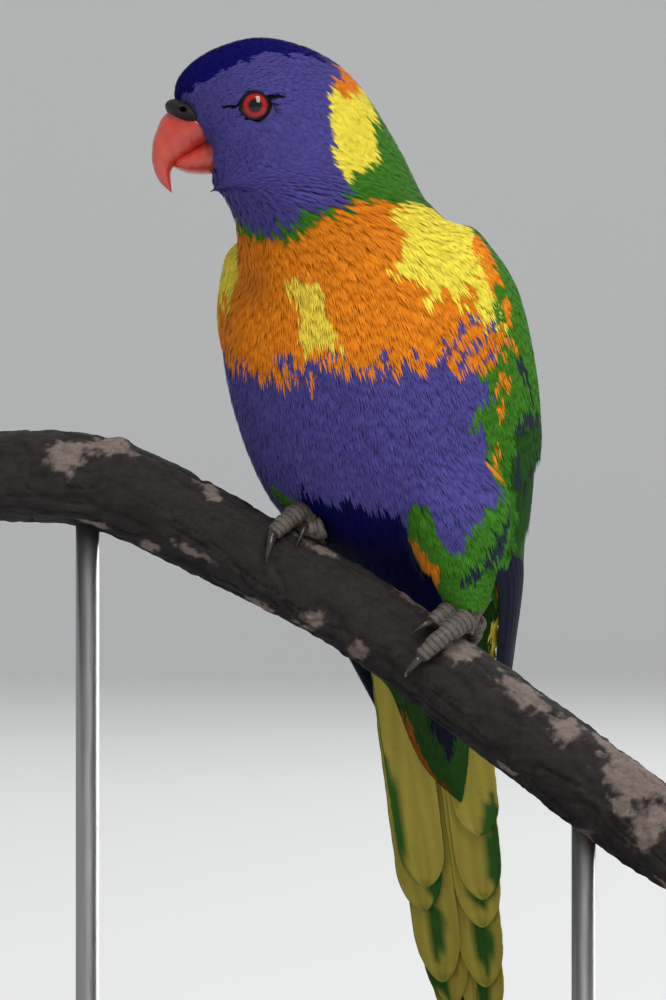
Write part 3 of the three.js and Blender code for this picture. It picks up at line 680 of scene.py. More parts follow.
# Outlines on the wing, distance ahead and degrees: orange beside the breast, then dark streaks
WING_ORANGE = [
    [(43, 73), (41.5, 69), (40.2, 73), (37.2, 72.5), (33.9, 76), (31.1, 76.5), (28.8, 81.6), (28.3, 85.2),
     (31.5, 92), (35.5, 93), (39.8, 91), (42, 82)],
    [(25.7, 85), (24.6, 79.5), (22.3, 80.6), (20.5, 83.4), (20.1, 88), (23.1, 87)],
    [(16, 86.7), (15.1, 82.9), (13.4, 84.6), (12.7, 87.2)],
]
WING_DARK = [
    [(12.7, 85.2), (10.6, 83.9), (1, 78.5), (-0.5, 80.3), (4.3, 85.4), (9.9, 87.7)],
    [(-5.6, 96), (-3.6, 88.5), (-6.5, 74.7), (-11.1, 73.4), (-10.6, 82.9), (-7.6, 86), (-9, 96)],
    [(-18.6, 96), (-19.9, 91.5), (-28.2, 86.4), (-34.4, 83.1), (-30.5, 91), (-24.9, 96)],
    [(-19.7, 85.9), (-22.7, 78), (-24.5, 77.2), (-22.1, 84.9)],
]


def wing_markings(ahead, turn):
    """The small wing feathers' colours: green, orange beside the breast, darker towards the tips.

    Noise moves the points first, so that the edges are fringed.
    """
    ahead, turn = floats(ahead, turn)
    colour = painted(GREEN, ahead.shape)
    spikes = 5 * (ripple(turn / 2.6, ahead / 14) - 0.5) + 2.5 * (ripple(turn / 1.2, ahead / 7) - 0.5)
    ahead, turn = ahead + spikes, turn + 2 * (ripple(ahead / 3, turn / 5) - 0.5)
    dark = ahead < -9 - 10 * (turn < 70) + 6 * ripple(turn / 4, ahead / 9)
    streak = (ahead < -12) & (turn < 74) & (ripple(ahead / 16 + 7, turn / 4 + ahead / 20) > 0.72)
    colour[dark] = DARK_GREEN
    colour[streak] = SLATE
    for outlines, paint in ((WING_DARK, SLATE), (WING_ORANGE, ORANGE)):
        for outline in outlines:
            colour[inside(ahead, turn, outline)] = paint
    return colour


def new_piece(name, points, faces, finish=None, maps=(), tints=None):
    """A smooth-shaded mesh from points in millimetres and faces as rows of corner numbers.

    maps are pairs of a name and one place in the map for each point, or for each corner of each face;
    tints are one colour for each point.
    """
    mesh = bpy.data.meshes.new(name)
    corners = np.ascontiguousarray(faces, dtype=np.int32)
    mesh.vertices.add(len(points))
    mesh.vertices.foreach_set("co", np.asarray(points * MM, np.float32).ravel())
    mesh.loops.add(corners.size)
    mesh.loops.foreach_set("vertex_index", corners.ravel())
    mesh.polygons.add(len(corners))
    starts = np.arange(0, corners.size, corners.shape[1], dtype=np.int32)
    mesh.polygons.foreach_set("loop_start", starts)
    mesh.update(calc_edges=True)
    mesh.shade_smooth()
    for map_name, places in maps:
        layer = mesh.uv_layers.new(name=map_name)
        if len(places) != corners.size:
            places = np.asarray(places)[corners.ravel()]
        layer.data.foreach_set("uv", np.asarray(places, np.float32).ravel())
    if tints is not None:
        layer = mesh.color_attributes.new(name="tint", type="FLOAT_COLOR", domain="POINT")
        shades = np.concatenate([tints, np.ones((len(tints), 1))], -1)
        layer.data.foreach_set("color", shades.astype(np.float32).ravel())
    piece = bpy.data.objects.new(name, mesh)
    bpy.context.scene.collection.objects.link(piece)
    if finish is not None:
        mesh.materials.append(finish)
    return piece


def grid_faces(rows, columns, closed=False):
    """Triangles of a grid of points laid row by row; closed joins the last column to the first."""
    i, j = np.meshgrid(np.arange(rows - 1), np.arange(columns if closed else columns - 1), indexing="ij")
    nxt = (j + 1) % columns
    a, b, c, d = i * columns + j, i * columns + nxt, (i + 1) * columns + nxt, (i + 1) * columns + j
    return np.concatenate([np.stack([a, b, c], -1).reshape(-1, 3), np.stack([a, c, d], -1).reshape(-1, 3)])


def closed_shell(rings):
    """A closed surface from rings of points: each end closes on a point in the middle of its ring."""
    rows, columns, _ = rings.shape
    points = np.concatenate([rings.reshape(-1, 3), rings[:1].mean(1), rings[-1:].mean(1)])
    j = np.arange(columns)
    nxt, first, last = (j + 1) % columns, rows * columns, (rows - 1) * columns
    caps = [np.stack([nxt, j, np.full(columns, first)], -1)]
    caps.append(np.stack([last + j, last + nxt, np.full(columns, first + 1)], -1))
    return outward(points, np.concatenate([grid_faces(rows, columns, True), *caps]))


def outward(points, faces):
    """The same closed surface with its faces pointing out: its signed volume is made positive."""
    a, b, c = (points[faces[:, k]] - points[0] for k in range(3))
    return points, faces if np.sum(np.cross(a, b) * c) > 0 else faces[:, ::-1]


def joined(shells):
    """Several shells as one list of points and one of faces."""
    starts = np.cumsum([0] + [len(points) for points, _ in shells[:-1]])
    faces = np.concatenate([faces + start for (_, faces), start in zip(shells, starts)])
    return np.concatenate([points for points, _ in shells]), faces


def nearest(points, samples, at_once):
    """The number of the nearest sample to each point, by squared distances in blocks."""
    samples = samples.astype(np.float32)
    lengths = (samples**2).sum(1)
    blocks = [points[k:k + at_once].astype(np.float32) for k in range(0, len(points), at_once)]
    return np.concatenate([np.argmin(lengths - 2 * block @ samples.T, axis=1) for block in blocks])


def melted(parts, cell, rounds, at_once=1500):
    """Rings of points melted into one smooth skin, with cells of a size in millimetres.

    parts are pairs of rings and facts, such as colours, one row for each point of the rings, or None.
    Returns the skin's points, its triangles, the direction out of it at each point, and at each point the
    facts of the nearest point of the rings.
    """
    points, faces = joined([closed_shell(rings) for rings, _ in parts])
    blank = new_piece("melting", points / MM, faces)
    cells = blank.modifiers.new("Cells", "REMESH")
    cells.mode, cells.voxel_size = "VOXEL", cell
    rub = blank.modifiers.new("Rub", "SMOOTH")
    rub.factor, rub.iterations = 0.5, rounds
    made = blank.evaluated_get(bpy.context.evaluated_depsgraph_get()).to_mesh()
    points, normals = (np.empty(3 * len(made.vertices), np.float32) for _ in range(2))
    made.vertices.foreach_get("co", points)
    made.vertices.foreach_get("normal", normals)
    corners = np.empty(len(made.loops), np.int32)
    made.loops.foreach_get("vertex_index", corners)
    mesh = blank.data
    bpy.data.objects.remove(blank)
    bpy.data.meshes.remove(mesh)
    points, corners = points.reshape(-1, 3).astype(float), corners.reshape(-1, 4)
    triangles = np.concatenate([corners[:, [0, 1, 2]], corners[:, [0, 2, 3]]])
    known = [(rings, facts) for rings, facts in parts if facts is not None]
    samples, facts = (np.concatenate([one.reshape(-1, one.shape[-1]) for one in k]) for k in zip(*known))
    return points, triangles, normals.reshape(-1, 3), facts[nearest(points, samples, at_once)]


def operator(operation, mirrored=False):
    """An operator that adds a Math node; mirrored, it takes the other value first."""
    def apply(self, *others):
        """The node's reading."""
        values = (*others, self) if mirrored else (self, *others)
        return self.finish.node("ShaderNodeMath", {"operation": operation}, *values)
    return apply


class Reading:
    """A number or a colour read at each point of a surface. Arithmetic on numbers adds Math nodes."""

    __add__, __radd__ = operator("ADD"), operator("ADD")
    __sub__, __rsub__ = operator("SUBTRACT"), operator("SUBTRACT", True)
    __mul__, __rmul__ = operator("MULTIPLY"), operator("MULTIPLY")
    __truediv__, __rtruediv__ = operator("DIVIDE"), operator("DIVIDE", True)
    __abs__, sine = operator("ABSOLUTE"), operator("SINE")

    def __init__(self, finish, socket):
        """A reading belongs to a finish and comes out of one socket."""
        self.finish, self.socket = finish, socket

    def step(self, low, high):
        """Eased from 0 at low to 1 at high."""
        settings = {"interpolation_type": "SMOOTHSTEP"}
        return self.finish.node("ShaderNodeMapRange", settings, self, low, high, 0.0, 1.0)


class Finish:
    """A material with one Principled surface, whose nodes are added through one method."""

    def __init__(self, name, **even):
        """A new material of that name whose surface has these even values."""
        self.material = bpy.data.materials.new(name)
        self.material.use_nodes = True
        self.tree = self.material.node_tree
        self.surface = self.tree.nodes["Principled BSDF"]
        self.set(**even)

    def set(self, **sockets):
        """Sets or links the surface's sockets; a name's low line stands for a space."""
        for name, value in sockets.items():
            self._give(self.surface.inputs[name.replace("_", " ")], value)
        return self.material

    def _give(self, socket, value):
        """Links a reading to a socket, or sets the socket to a value; None leaves it as it is."""
        if value is None:
            return
        if isinstance(value, Reading):
            self.tree.links.new(value.socket, socket)
        elif socket.type == "RGBA":
            socket.default_value = (*value[:3], 1.0)
        else:
            socket.default_value = value

    def node(self, kind, settings=None, *values, out=0, **named):
        """A node of a kind, with its settings and the values or readings of its sockets; one output."""
        made = self.tree.nodes.new(kind)
        for key, value in (settings or {}).items():
            if key == "stops":
                while len(made.color_ramp.elements) < len(value):
                    made.color_ramp.elements.new(0.5)
                for stop, (place, shade) in zip(made.color_ramp.elements, value):
                    stop.position, stop.color = place, (*shade, 1.0)
            else:
                setattr(made, key, value)
        for socket, value in zip(made.inputs, values):
            self._give(socket, value)
        for name, value in named.items():
            self._give(made.inputs[name.replace("_", " ")], value)
        return Reading(self, made.outputs[out])

    def tint(self):
        """The piece's own colour at each point."""
        return self.node("ShaderNodeAttribute", {"attribute_name": "tint"}, out="Color")

    def lay(self):
        """Where a point lies on its own feather: along it and across it."""
        place = self.node("ShaderNodeUVMap", {"uv_map": "lay"})
        return [self.node("ShaderNodeSeparateXYZ", None, place, out=k) for k in (0, 1)]

    def place(self, scale=(1, 1, 1), location=(0, 0, 0)):
        """Object coordinates in metres, scaled about a point."""
        raw = self.node("ShaderNodeTexCoord", None, out="Object")
        return self.node("ShaderNodeMapping", None, raw, Location=location, Scale=scale)

    def noise(self, vector, scale, detail, rough=0.5):
        """Smooth noise from 0 to 1."""
        sockets = {"Vector": vector, "Scale": scale, "Detail": detail, "Roughness": rough}
        return self.node("ShaderNodeTexNoise", **sockets)

    def mix(self, share, first, second, blend="MIX"):
        """Two colours mixed by a share, or multiplied."""
        settings = {"data_type": "RGBA", "blend_type": blend}
        return self.node("ShaderNodeMix", settings, share, *[None] * 5, first, second, out=2)

    def bump(self, height, distance, strength):
        """The surface's direction as if it rose by the height times the distance."""
        return self.node("ShaderNodeBump", None, Height=height, Distance=distance, Strength=strength)


def plumage_finish(name, roughness, ribs):
    """Feathers: the marking's colour, paler and darker along fine ribs that slant from the shaft."""
    finish = Finish(name, Roughness=roughness, Specular_IOR_Level=0.06)
    along, across = finish.lay()
    rib = ((abs(across) * 0.9 - along) * ribs).sine()
    shade = rib * 0.07 + 0.87 + finish.noise(finish.place(), 900.0, 2.0) * 0.2
    grey = finish.node("ShaderNodeCombineXYZ", None, shade, shade, shade)
    colour = finish.mix(1.0, finish.tint(), grey, "MULTIPLY")
    return finish.set(Base_Color=colour, Normal=finish.bump(rib, 0.00006, 0.5))


COAT, BLADE = plumage_finish("soft_feathers", 0.7, 14.0), plumage_finish("stiff_feathers", 0.5, 11.0)


def skin_finish():
    """Bare skin: the piece's own colour, darker and rougher where fine noise is high, as pores are."""
    finish = Finish("bare_skin", Specular_IOR_Level=0.22)
    tint = finish.tint()
    pores = finish.noise(finish.place(), 2600.0, 3.0)
    colour = finish.mix(pores * 0.5, tint, finish.mix(1.0, tint, (0.4, 0.4, 0.42), "MULTIPLY"))
    bump = finish.bump(pores, 0.00012, 0.6)
    return finish.set(Base_Color=colour, Roughness=pores * 0.3 + 0.4, Normal=bump)


SKIN = skin_finish()


# The skin: size of its cells, spans of the sections, thighs and arms it is made from, how deep it lies in
# the thigh (at the ankle, and less at the hip) and under the wing's arm, and how dark it is
SKIN_CELL, SKIN_BODY, SKIN_THIGH, SKIN_ARM = 0.9, (0.06, 15.95), (0.98, 0.03), (43.5, -40)
THIGH_DEEP, ARM_DEEP, SKIN_DARK = (-1.0, -2.6), 2.2, 0.6


def skin_piece():
    """One skin for head, neck, trunk, wing arms and thighs, inside them by the coat's depth, with lids.

    Each is its own surface with a negative lift; the arm's section is a lens a little smaller than the
    arm's own.
    """
    s = np.linspace(*SKIN_BODY, 190)[:, None]
    turn = np.linspace(-180, 180, 96, endpoint=False)[None]
    parts = [(body(s, turn, -coat_depth(s)), markings(s, turn))]
    for name, side in SIDES.items():
        p = np.linspace(*SKIN_THIGH, 40)[:, None]
        leg = THIGHS[name][0](p, turn, THIGH_DEEP[1] + (THIGH_DEEP[0] - THIGH_DEEP[1]) * (1 - p))
        parts.append((leg, thigh_markings(name)(p, turn)))
        ahead, around = np.linspace(*SKIN_ARM, 60)[:, None], circle(40)
        upper, lower, thick = arm_edges(ahead)
        across = (upper + lower) / 2 - ((lower - upper) / 2 - 4) * np.cos(around)
        lift = np.maximum(thick - 3, 1) / 2 * (np.sin(around) - 1) - ARM_ARCH * np.cos(around) ** 2 - ARM_DEEP
        parts.append((shell(side, ahead, across, lift), wing_markings(ahead, across)))
    points, triangles, _, tints = melted(parts, SKIN_CELL, 4, 4000)
    tints = tints * SKIN_DARK
    for side in SIDES.values():
        lid_points, lid_faces = eyelid(side)
        triangles = np.concatenate([triangles, lid_faces + len(points)])
        points = np.concatenate([points, lid_points])
        tints = np.concatenate([tints, painted(RING_BLACK, lid_points.shape[:1])])
    return new_piece("skin", points, triangles, SKIN, tints=tints)


# The eyes: ball radius, its middle from the head's own point, and radii of what is seen on it
EYE_BALL, EYE_AHEAD, EYE_UP, EYE_LEFT = 5, -0.2, -1.2, 11.0
IRIS, PUPIL, LID_OUT = 3.2, 1.45, 4.7


def eyelid(side):
    """The bare ring round the eye: a rounded rim on the ball that falls away to the skin, with corners.

    Its radius round the eye's axis grows from the rim outwards, more at the front and back corners; its
    height off the ball's middle follows the ball, lifted by the rim's thickness.
    """
    around, out = circle(120), np.linspace(0, 1, 26)[:, None]
    corner = hump(np.angle(np.exp(1j * (around - np.pi - 0.12))), 0.2)
    corner = corner + hump(np.angle(np.exp(1j * (around + 0.3))), 0.2)
    radius = IRIS - 0.02 + 0.28 * corner + (LID_OUT - IRIS + 1.1 * corner) * out
    ball = np.sqrt(np.maximum(EYE_BALL**2 - radius**2, 0))
    wrinkle = 0.05 * np.sin(around * 34 + 9 * out) * np.sin(np.pi * out)
    rim = 0.34 * np.sqrt(np.clip(out * 7, 0, 1)) * (1 - 0.4 * out) + 0.12 * hump(out, 0.1, 0.16)
    height = ball + rim + wrinkle - 0.5 * out**2 - 0.08
    rings = [on_eye(side, radius, around, height)]
    rings.append(on_eye(side, radius[-1:], around, height[-1:] - 1.6))
    rings.append(on_eye(side, 2.8, around, 3.2))
    return closed_ring(np.concatenate(rings))


def on_eye(side, radius, around, height):
    """A point about the eye's axis: distance from it, angle round it, height off the ball's middle."""
    ahead, up, height = floats(EYE_AHEAD + radius * np.cos(around), EYE_UP + radius * np.sin(around), height)
    return on_head(ahead, up, side * (EYE_LEFT + height))


def closed_ring(rings):
    """A surface closed both round and along, such as a ring with a closed section."""
    rows, columns, _ = rings.shape
    j = np.arange(columns)
    nxt, last = (j + 1) % columns, (rows - 1) * columns
    seam = [np.stack([last + j, last + nxt, nxt], -1), np.stack([last + j, nxt, j], -1)]
    return outward(rings.reshape(-1, 3), np.concatenate([grid_faces(rows, columns, True), *seam]))


# How far a root may stray from its place: of the gap along its row, and of the gap between rows
STRAY_ACROSS, STRAY_ALONG = 0.22, 0.25


def quincunx(chart, heads, turns, gap, narrow, seed):
    """Roots of feathers in offset rows: p from its first to its last value, q across.

    Rows lie at whole numbers of gaps counted along each line of equal q; in a row the roots are equally
    spaced at narrow times the gap. Both get a small seeded shift.
    """
    rng = np.random.default_rng(seed)
    p, q = np.linspace(*heads, 500), np.linspace(*turns, 241)
    grid = chart(p[:, None], q[None, :], 0.0)
    gaps = gap(p)
    steps = np.linalg.norm(np.diff(grid, axis=0), axis=-1) / ((gaps[1:] + gaps[:-1]) / 2)[:, None]
    count = np.concatenate([np.zeros((1, len(q))), np.cumsum(steps, 0)])
    columns = np.arange(len(q))
    found = []
    for row in np.arange(0.4, count.max(), 1.0):
        after = np.clip(np.argmax(count >= row, axis=0), 1, None)
        low, high = count[after - 1, columns], count[after, columns]
        share = np.clip((row - low) / np.maximum(high - low, 1e-9), 0, 1)
        line = p[after - 1] * (1 - share) + p[after] * share
        reached = count[-1] >= row
        apart = np.linalg.norm(np.diff(chart(line, q, 0.0), axis=0), axis=-1)
        wide = apart / (narrow * gap((line[1:] + line[:-1]) / 2))
        run = np.concatenate([[0], np.cumsum(wide * (reached[1:] & reached[:-1]))])
        number = int(run[-1])
        if number < 1:
            continue
        stray = rng.uniform(-STRAY_ACROSS, STRAY_ACROSS, number)
        at = (np.arange(number) + (round(row) % 2) / 2 + stray) % number
        at_q = np.interp(at * run[-1] / number, run, q)
        at_p = np.interp(at_q, q, line)
        keep = np.interp(at_q, q, reached) > 0.9
        slope = (p[-1] - p[0]) / np.maximum(np.interp(at_q, q, count[-1]), 1)
        at_p = at_p + rng.uniform(-STRAY_ALONG, STRAY_ALONG, number) * slope
        found.append(np.stack([at_p, at_q], -1)[keep])
    return np.concatenate(found).T


def strips(barbs, bends, bow, point):
    """A feather as narrow strips side by side from its root to its rim, each ending in a point.

    Lengthways 0 is the root and 1 the tip, sideways -1 and 1 are its widest places. A strip ends where the
    rim's curve, 1 - bow * sideways^2, is; it starts half as far from the shaft. point is the share of it
    that tapers.
    """
    lane = (np.arange(barbs) - (barbs - 1) / 2) / (barbs / 2)
    t = np.linspace(0, 1, bends) ** 0.85
    x = (1 - bow * lane**2)[:, None] * t
    y = lane[:, None] * (0.5 + 0.5 * np.sin(np.pi / 2 * np.clip(t / 0.6, 0, 1)))
    half = 1.55 / barbs * np.interp(t, [0, 0.3, 1 - point, 1], [0.6, 1, 1, 0])
    both = np.stack([np.stack([x, y - half], -1), np.stack([x, y + half], -1)], 2)
    flat = np.concatenate([both[:, :-1].reshape(barbs, -1, 2), np.stack([x, y], -1)[:, -1:]], 1)
    k, last = np.arange(bends - 2) * 2, 2 * (bends - 1)
    quads = [np.stack([k, k + 2, k + 3], -1), np.stack([k, k + 3, k + 1], -1)]
    faces = np.concatenate([*quads, [[last - 2, last, last - 1]]])
    return flat, np.append(np.repeat(t[:-1], 2), 1.0), faces


class Lie:
    """A surface's lengths in tables: along p from its lowest value, and across for one step of q."""

    CELL = 0.25

    def __init__(self, chart, heads, turns):
        """The tables add up the distances between neighbouring points of a fine grid on the surface."""
        self.p, self.q = np.linspace(min(heads), max(heads), 500), np.linspace(*turns, 181)
        grid = chart(self.p[:, None], self.q[None], 0.0)
        steps = np.linalg.norm(np.diff(grid, axis=0), axis=-1)
        self.run = np.concatenate([np.zeros((1, len(self.q))), np.cumsum(steps, 0)])
        across = np.linalg.norm(np.gradient(grid, self.q, axis=1), axis=-1)
        self.across = np.maximum(across, 0.02)
        at = np.arange(0, self.run.max(), self.CELL)
        self.back = np.stack([np.interp(at, self.run[:, j], self.p) for j in range(len(self.q))], 1)

    def _read(self, table, p, q):
        """A table read at p and q."""
        return read_table(table, (p - self.p[0]) / (self.p[1] - self.p[0]), self._column(q))

    def _column(self, q):
        """The tables' column number at q."""
        return (q - self.q[0]) / (self.q[1] - self.q[0])

    def length(self, p, q):
        """The distance along the surface from the lowest p."""
        return self._read(self.run, p, q)

    def fall(self, p, q, along):
        """p after a distance along the surface towards falling p; past its end p goes on in even steps."""
        left = self.length(p, q) - along
        first = read_table(self.run, np.ones_like(left), self._column(q))
        slope = (self.p[1] - self.p[0]) / np.maximum(first, 1e-3)
        found = read_table(self.back, left / self.CELL, self._column(q))
        return np.where(left < 0, self.p[0] + left * slope, found)

    def width(self, p, q):
        """The distance across the surface for one step of q."""
        return self._read(self.across, p, q)


# A feather's root lies this deep in the coat's depth and comes out of it with a power of the way along; its
# rim is lower than its shaft by the crown; its root is darker than its tip, partly as a downy base and partly
# as painted shade from the feathers over it, and its tip is a little lighter as a painted highlight
PLUME_POWER, PLUME_CROWN, PLUME_DOWN_AND_SHADE, PLUME_TIP_HIGHLIGHT = 2.2, 0.07, 0.78, 1.02


def plumes(chart, lie, roots, shape, long, wide, depth, paint, seed, way=0.0, fray=1.0, ruffle=0.1,
           rise=0.08, jumble=0.08, shift=0.0):
    """Many feathers on a surface, each lying from its root towards falling p.

    A point of a feather is its root moved by (along, across), measured on the surface. Its lift is
    -depth * (1 - along)^power, less the crown across it, plus a tilt. way turns it, jumble is how much that
    differs from feather to feather, and fray how uneven its strips are.
    """
    rng = np.random.default_rng(seed)
    flat, along_strip, faces = shape
    number, (barbs, dots, _) = roots.shape[1], flat.shape
    each = (number, 1, 1)
    sizes = (*roots, long, wide, depth, way, shift)
    sizes = (np.broadcast_to(size, number).astype(float).reshape(each) for size in sizes)
    p, q, long, wide, depth, way, shift = sizes
    long = long * rng.uniform(0.9, 1.1, each)
    reach = 1 + fray * rng.normal(0, 0.05, (number, barbs, 1)) * along_strip**2
    x = flat[None, ..., 0] * reach
    y = flat[None, ..., 1] * reach + rng.normal(0, 0.04, (number, barbs, 1)) * fray * along_strip
    turned = way + rng.normal(0, jumble, each)
    along, across = x * long, y * wide / 2
    p, q = (np.broadcast_to(root, x.shape) for root in (p, q))
    p_at = lie.fall(p, q, along * np.cos(turned) - across * np.sin(turned))
    q_at = q + (along * np.sin(turned) + across * np.cos(turned)) / lie.width(p_at, q)
    tilt = rng.normal(0, ruffle, each)
    lift = -depth * np.clip(1 - x, 0, 1) ** PLUME_POWER - PLUME_CROWN * y**2 * wide / 2
    lift = lift + tilt * y * wide / 4 + rise * rng.random(each) * x**3
    lift = lift + rng.normal(0, 0.03, (number, barbs, 1)) * along_strip + shift
    points = chart(p_at, q_at, lift)
    seen = int(0.8 * dots)
    fuzz = rng.normal(0, 0.05, (number, barbs)) + rng.normal(0, 0.05, (number, 1))
    tint = paint(lie.fall(p_at[..., seen], q[..., 0], fuzz * long[..., 0]), q_at[..., seen])
    tint = tint * rng.uniform(0.9, 1.08, each) * rng.uniform(0.94, 1.06, (number, barbs, 1))
    # Darker at the root, partly a downy base and partly painted shade; a little lighter at the tip, a painted
    # highlight
    paler = PLUME_DOWN_AND_SHADE + (PLUME_TIP_HIGHLIGHT - PLUME_DOWN_AND_SHADE) * np.clip(x, 0, 1) ** 1.5
    out = chart(*roots, 1.0) - chart(*roots, 0.0)
    a, b, c = (points[:, barbs // 2, k] for k in (0, 2, 3))
    if np.sum(np.cross(b - a, c - a) * out) < 0:
        faces = faces[:, ::-1]
    faces = (faces[None] + np.arange(number * barbs)[:, None, None] * dots).reshape(-1, 3)
    made = {"points": points, "tints": tint[:, :, None, :] * paler[..., None], "lay": np.stack([x, y], -1),
            "home": np.stack([q, p], -1)}
    return {"faces": faces, **{key: value.reshape(-1, value.shape[-1]) for key, value in made.items()}}


PATCH = 0.003  # the side of one feather's patch of OFBake


def coat_piece(name, lots, p_span, q_span):
    """One mesh from lots of feathers, with two maps: where a point lies on its own feather, and OFBake.

    OFBake spreads the roots over the unwrapped skin, q across and p up, and each feather is one small patch
    at its root's place, with its own length and width as the patch's sides.
    """
    points, faces = joined([(lot["points"], lot["faces"]) for lot in lots])
    lay, home, tints = (np.concatenate([lot[key] for lot in lots]) for key in ("lay", "home", "tints"))
    low, high = np.array([q_span[0], p_span[0]]), np.array([q_span[1], p_span[1]])
    at = 0.01 + 0.98 * np.clip((home - low) / (high - low), 0, 1)
    bake = at + PATCH * np.stack([lay[:, 1] / 2, lay[:, 0] - 0.5], -1)
    return new_piece(name, points, faces, COAT, maps=(("lay", lay), ("OFBake", bake)), tints=tints)


# The distance between the body's feather rows, and the feathers' length in gaps: sections, values
ROW_GAPS = ([0, 2, 4, 6, 8, 9.3, 10.5, 12, 13, 14.5, 16],
            [3.0, 2.7, 2.4, 2.25, 2.1, 1.75, 1.45, 1.2, 1.05, 0.8, 0.65])
ROW_LENGTHS = ([0, 3, 6, 9, 11, 13, 16], [4.8, 4.4, 4.2, 4.2, 4, 3.6, 2.8])
ROW_NARROW = 0.86


def row_gap(s):
    """The distance between feather rows by section, straight between the table's values."""
    return np.interp(s, *ROW_GAPS)


TUCK = 7  # degrees of the body's coat that go on beneath a wing's upper edge
# The line where the breast and the flank end on the wing: degrees by distance ahead
WING_LINE = ([-66, -59.5, -49, -44, -35, -23, -13, -6, 1, 11, 20, 31, 40, 43],
             [103, 103, 102, 99, 97, 98, 97, 95, 92, 90, 88.7, 88.5, 88, 78])


def under_wing(points):
    """Whether a wing hides roots: between its upper edge and the line where the breast ends on it."""
    ahead, turn, _ = wing_place(points)
    upper, _, _ = arm_edges(ahead)
    return (turn > upper + TUCK) & (turn < np.interp(ahead, *WING_LINE)) & (ahead < 42) & (ahead > -66)


# No feather lies nearer to the eye's middle than this, for points this far to the side
BARE, CHEEK_OUT = 4.0, 7
# The bill's outline, ahead of and above the head's own point, for points nearer to its middle than this
BILL_OUT = 7.5
BILL_OUTLINE = [
    (12.6, -0.6), (12, -4), (9.6, -7.6), (7.8, -9.6), (7.4, -14.8), (9, -16.9), (30, -20), (30, 3),
]


def spare_face(s, turn, long):
    """Shortens feathers that would lie over an eye and drops those whose roots lie inside the bill.

    A feather's line meets the eye's circle where the distance onward, less half the circle's chord, is.
    """
    root, tip = body(s, turn), body(s - 0.1, turn)
    ahead, up, left = in_head(root)
    far, high, _ = in_head(tip)
    aim = unit(np.stack([far - ahead, high - up], -1))
    to = np.stack([EYE_AHEAD - ahead, EYE_UP - up], -1)
    onward = np.sum(to * aim, -1)
    miss = np.sum(to**2, -1) - onward**2
    entry = onward - np.sqrt(np.maximum(BARE**2 - miss, 0))
    meets = (miss < BARE**2) & (onward > 0) & (np.abs(left) > CHEEK_OUT)
    short = np.where(meets, np.minimum(long, np.maximum(entry, 0)), long)
    covers = (np.sum(to**2, -1) < BARE**2) & (np.abs(left) > CHEEK_OUT)
    in_bill = inside(ahead, up, BILL_OUTLINE) & (np.abs(left) < BILL_OUT)
    return short, ~covers & ~in_bill & (short > np.minimum(0.8, 0.5 * long))


LEG_PARTING = 0.48  # share of the thigh
# The pieces of the body's coat: where each ends, counting sections from the first, and its slot
COAT_START, FINE_FROM = 0.3, 9.2
COAT_PIECES = [
    ("coat_tail_coverts", 3.2, "body_plumage"), ("coat_belly", 5.6, "body_plumage"),
    ("coat_breast", 7.4, "body_plumage"), ("coat_shoulders", 9.2, "neck_plumage"),
    ("coat_neck", 11, "neck_plumage"), ("coat_crown", 12.6, "face_plumage"),
    ("coat_face", 16, "face_plumage"),
]


def body_coat():
    """The body's feathers, in rows from the bill to the tail coverts, in one piece for each stretch.

    The rows run over the upper thighs; from the parting down they go on beside them.
    """
    roots = quincunx(over_body, (15.93, 0.45), (-180, 180), row_gap, ROW_NARROW, 21)
    points = over_body(*roots)
    share = np.where(roots[1] > 0, *(place(points)[0] for _, place in THIGHS.values()))
    low_leg = (rise_at(LEG_RISE, *roots) > 0.4) & (share < LEG_PARTING)
    beside = beside_legs(*roots)
    free = np.minimum(*(place(beside)[2] for _, place in THIGHS.values())) > -1.8
    hidden = under_wing(np.where(low_leg[:, None], beside, points))
    charts = ((False, over_body, coat_markings), (True, beside_legs, markings))
    lies = [Lie(chart, (0.05, 15.97), (-180, 180)) for _, chart, _ in charts]
    long = row_gap(roots[0]) * np.interp(roots[0], *ROW_LENGTHS)
    long, keep = spare_face(*roots, np.minimum(long, lies[True].length(*roots) - 1.5))
    keep &= ~hidden & (~low_leg | free)
    fine, soft = strips(5, 4, 0.3, 0.45), strips(7, 4, 0.34, 0.36)
    made, low = [], COAT_START
    for seed, (name, high, slot) in enumerate(COAT_PIECES, 3):
        lots = []
        for beneath, chart, paint in charts:
            mine = keep & (roots[0] >= low) & (roots[0] < high) & (low_leg == beneath)
            if not mine.any():
                continue
            s, size = roots[0, mine], long[mine]
            wide, depth = row_gap(s) * ROW_NARROW * 2.0, np.minimum(coat_depth(s) + 0.3, 0.55 * size + 0.2)
            shape = fine if low >= FINE_FROM else soft
            lots.append(plumes(chart, lies[beneath], roots[:, mine], shape, size, wide, depth, paint, seed))
        made.append((coat_piece(name, lots, (low, high), (-180, 180)), slot))
        low = high
    return made


def thigh_coat(name):
    """The loose feathers of one thigh's lower part, down to the ankle.

    A root is left out where it lies more than 2.5 mm inside the body: its distance from the nearest body
    point, measured along the body's outward direction there.
    """
    point, _ = THIGHS[name]
    roots = quincunx(point, (0.68, 0.12), (-180, 180), lambda p: 1.7 + 0.5 * p, ROW_NARROW, 31)
    net = (np.linspace(2, 8, 120)[:, None], np.arange(-180, 180, 3)[None])
    samples, raised = (body(*net, lift).reshape(-1, 3) for lift in (0.0, 1.0))
    at = point(*roots)
    near = nearest(at, samples, 4000)
    buried = np.sum((at - samples[near]) * (raised[near] - samples[near]), -1) < -2.5
    roots = roots[:, ~buried]
    lie, shape = Lie(point, (0, 0.98), (-180, 180)), strips(7, 4, 0.34, 0.36)
    long, depth = 3.4 + 6 * roots[0], 0.8 + 2.2 * roots[0]
    lot = plumes(point, lie, roots, shape, long, 3.6, depth, thigh_markings(name), 33)
    return coat_piece(f"coat_thigh_{name}", [lot], (0, 1), (-180, 180))


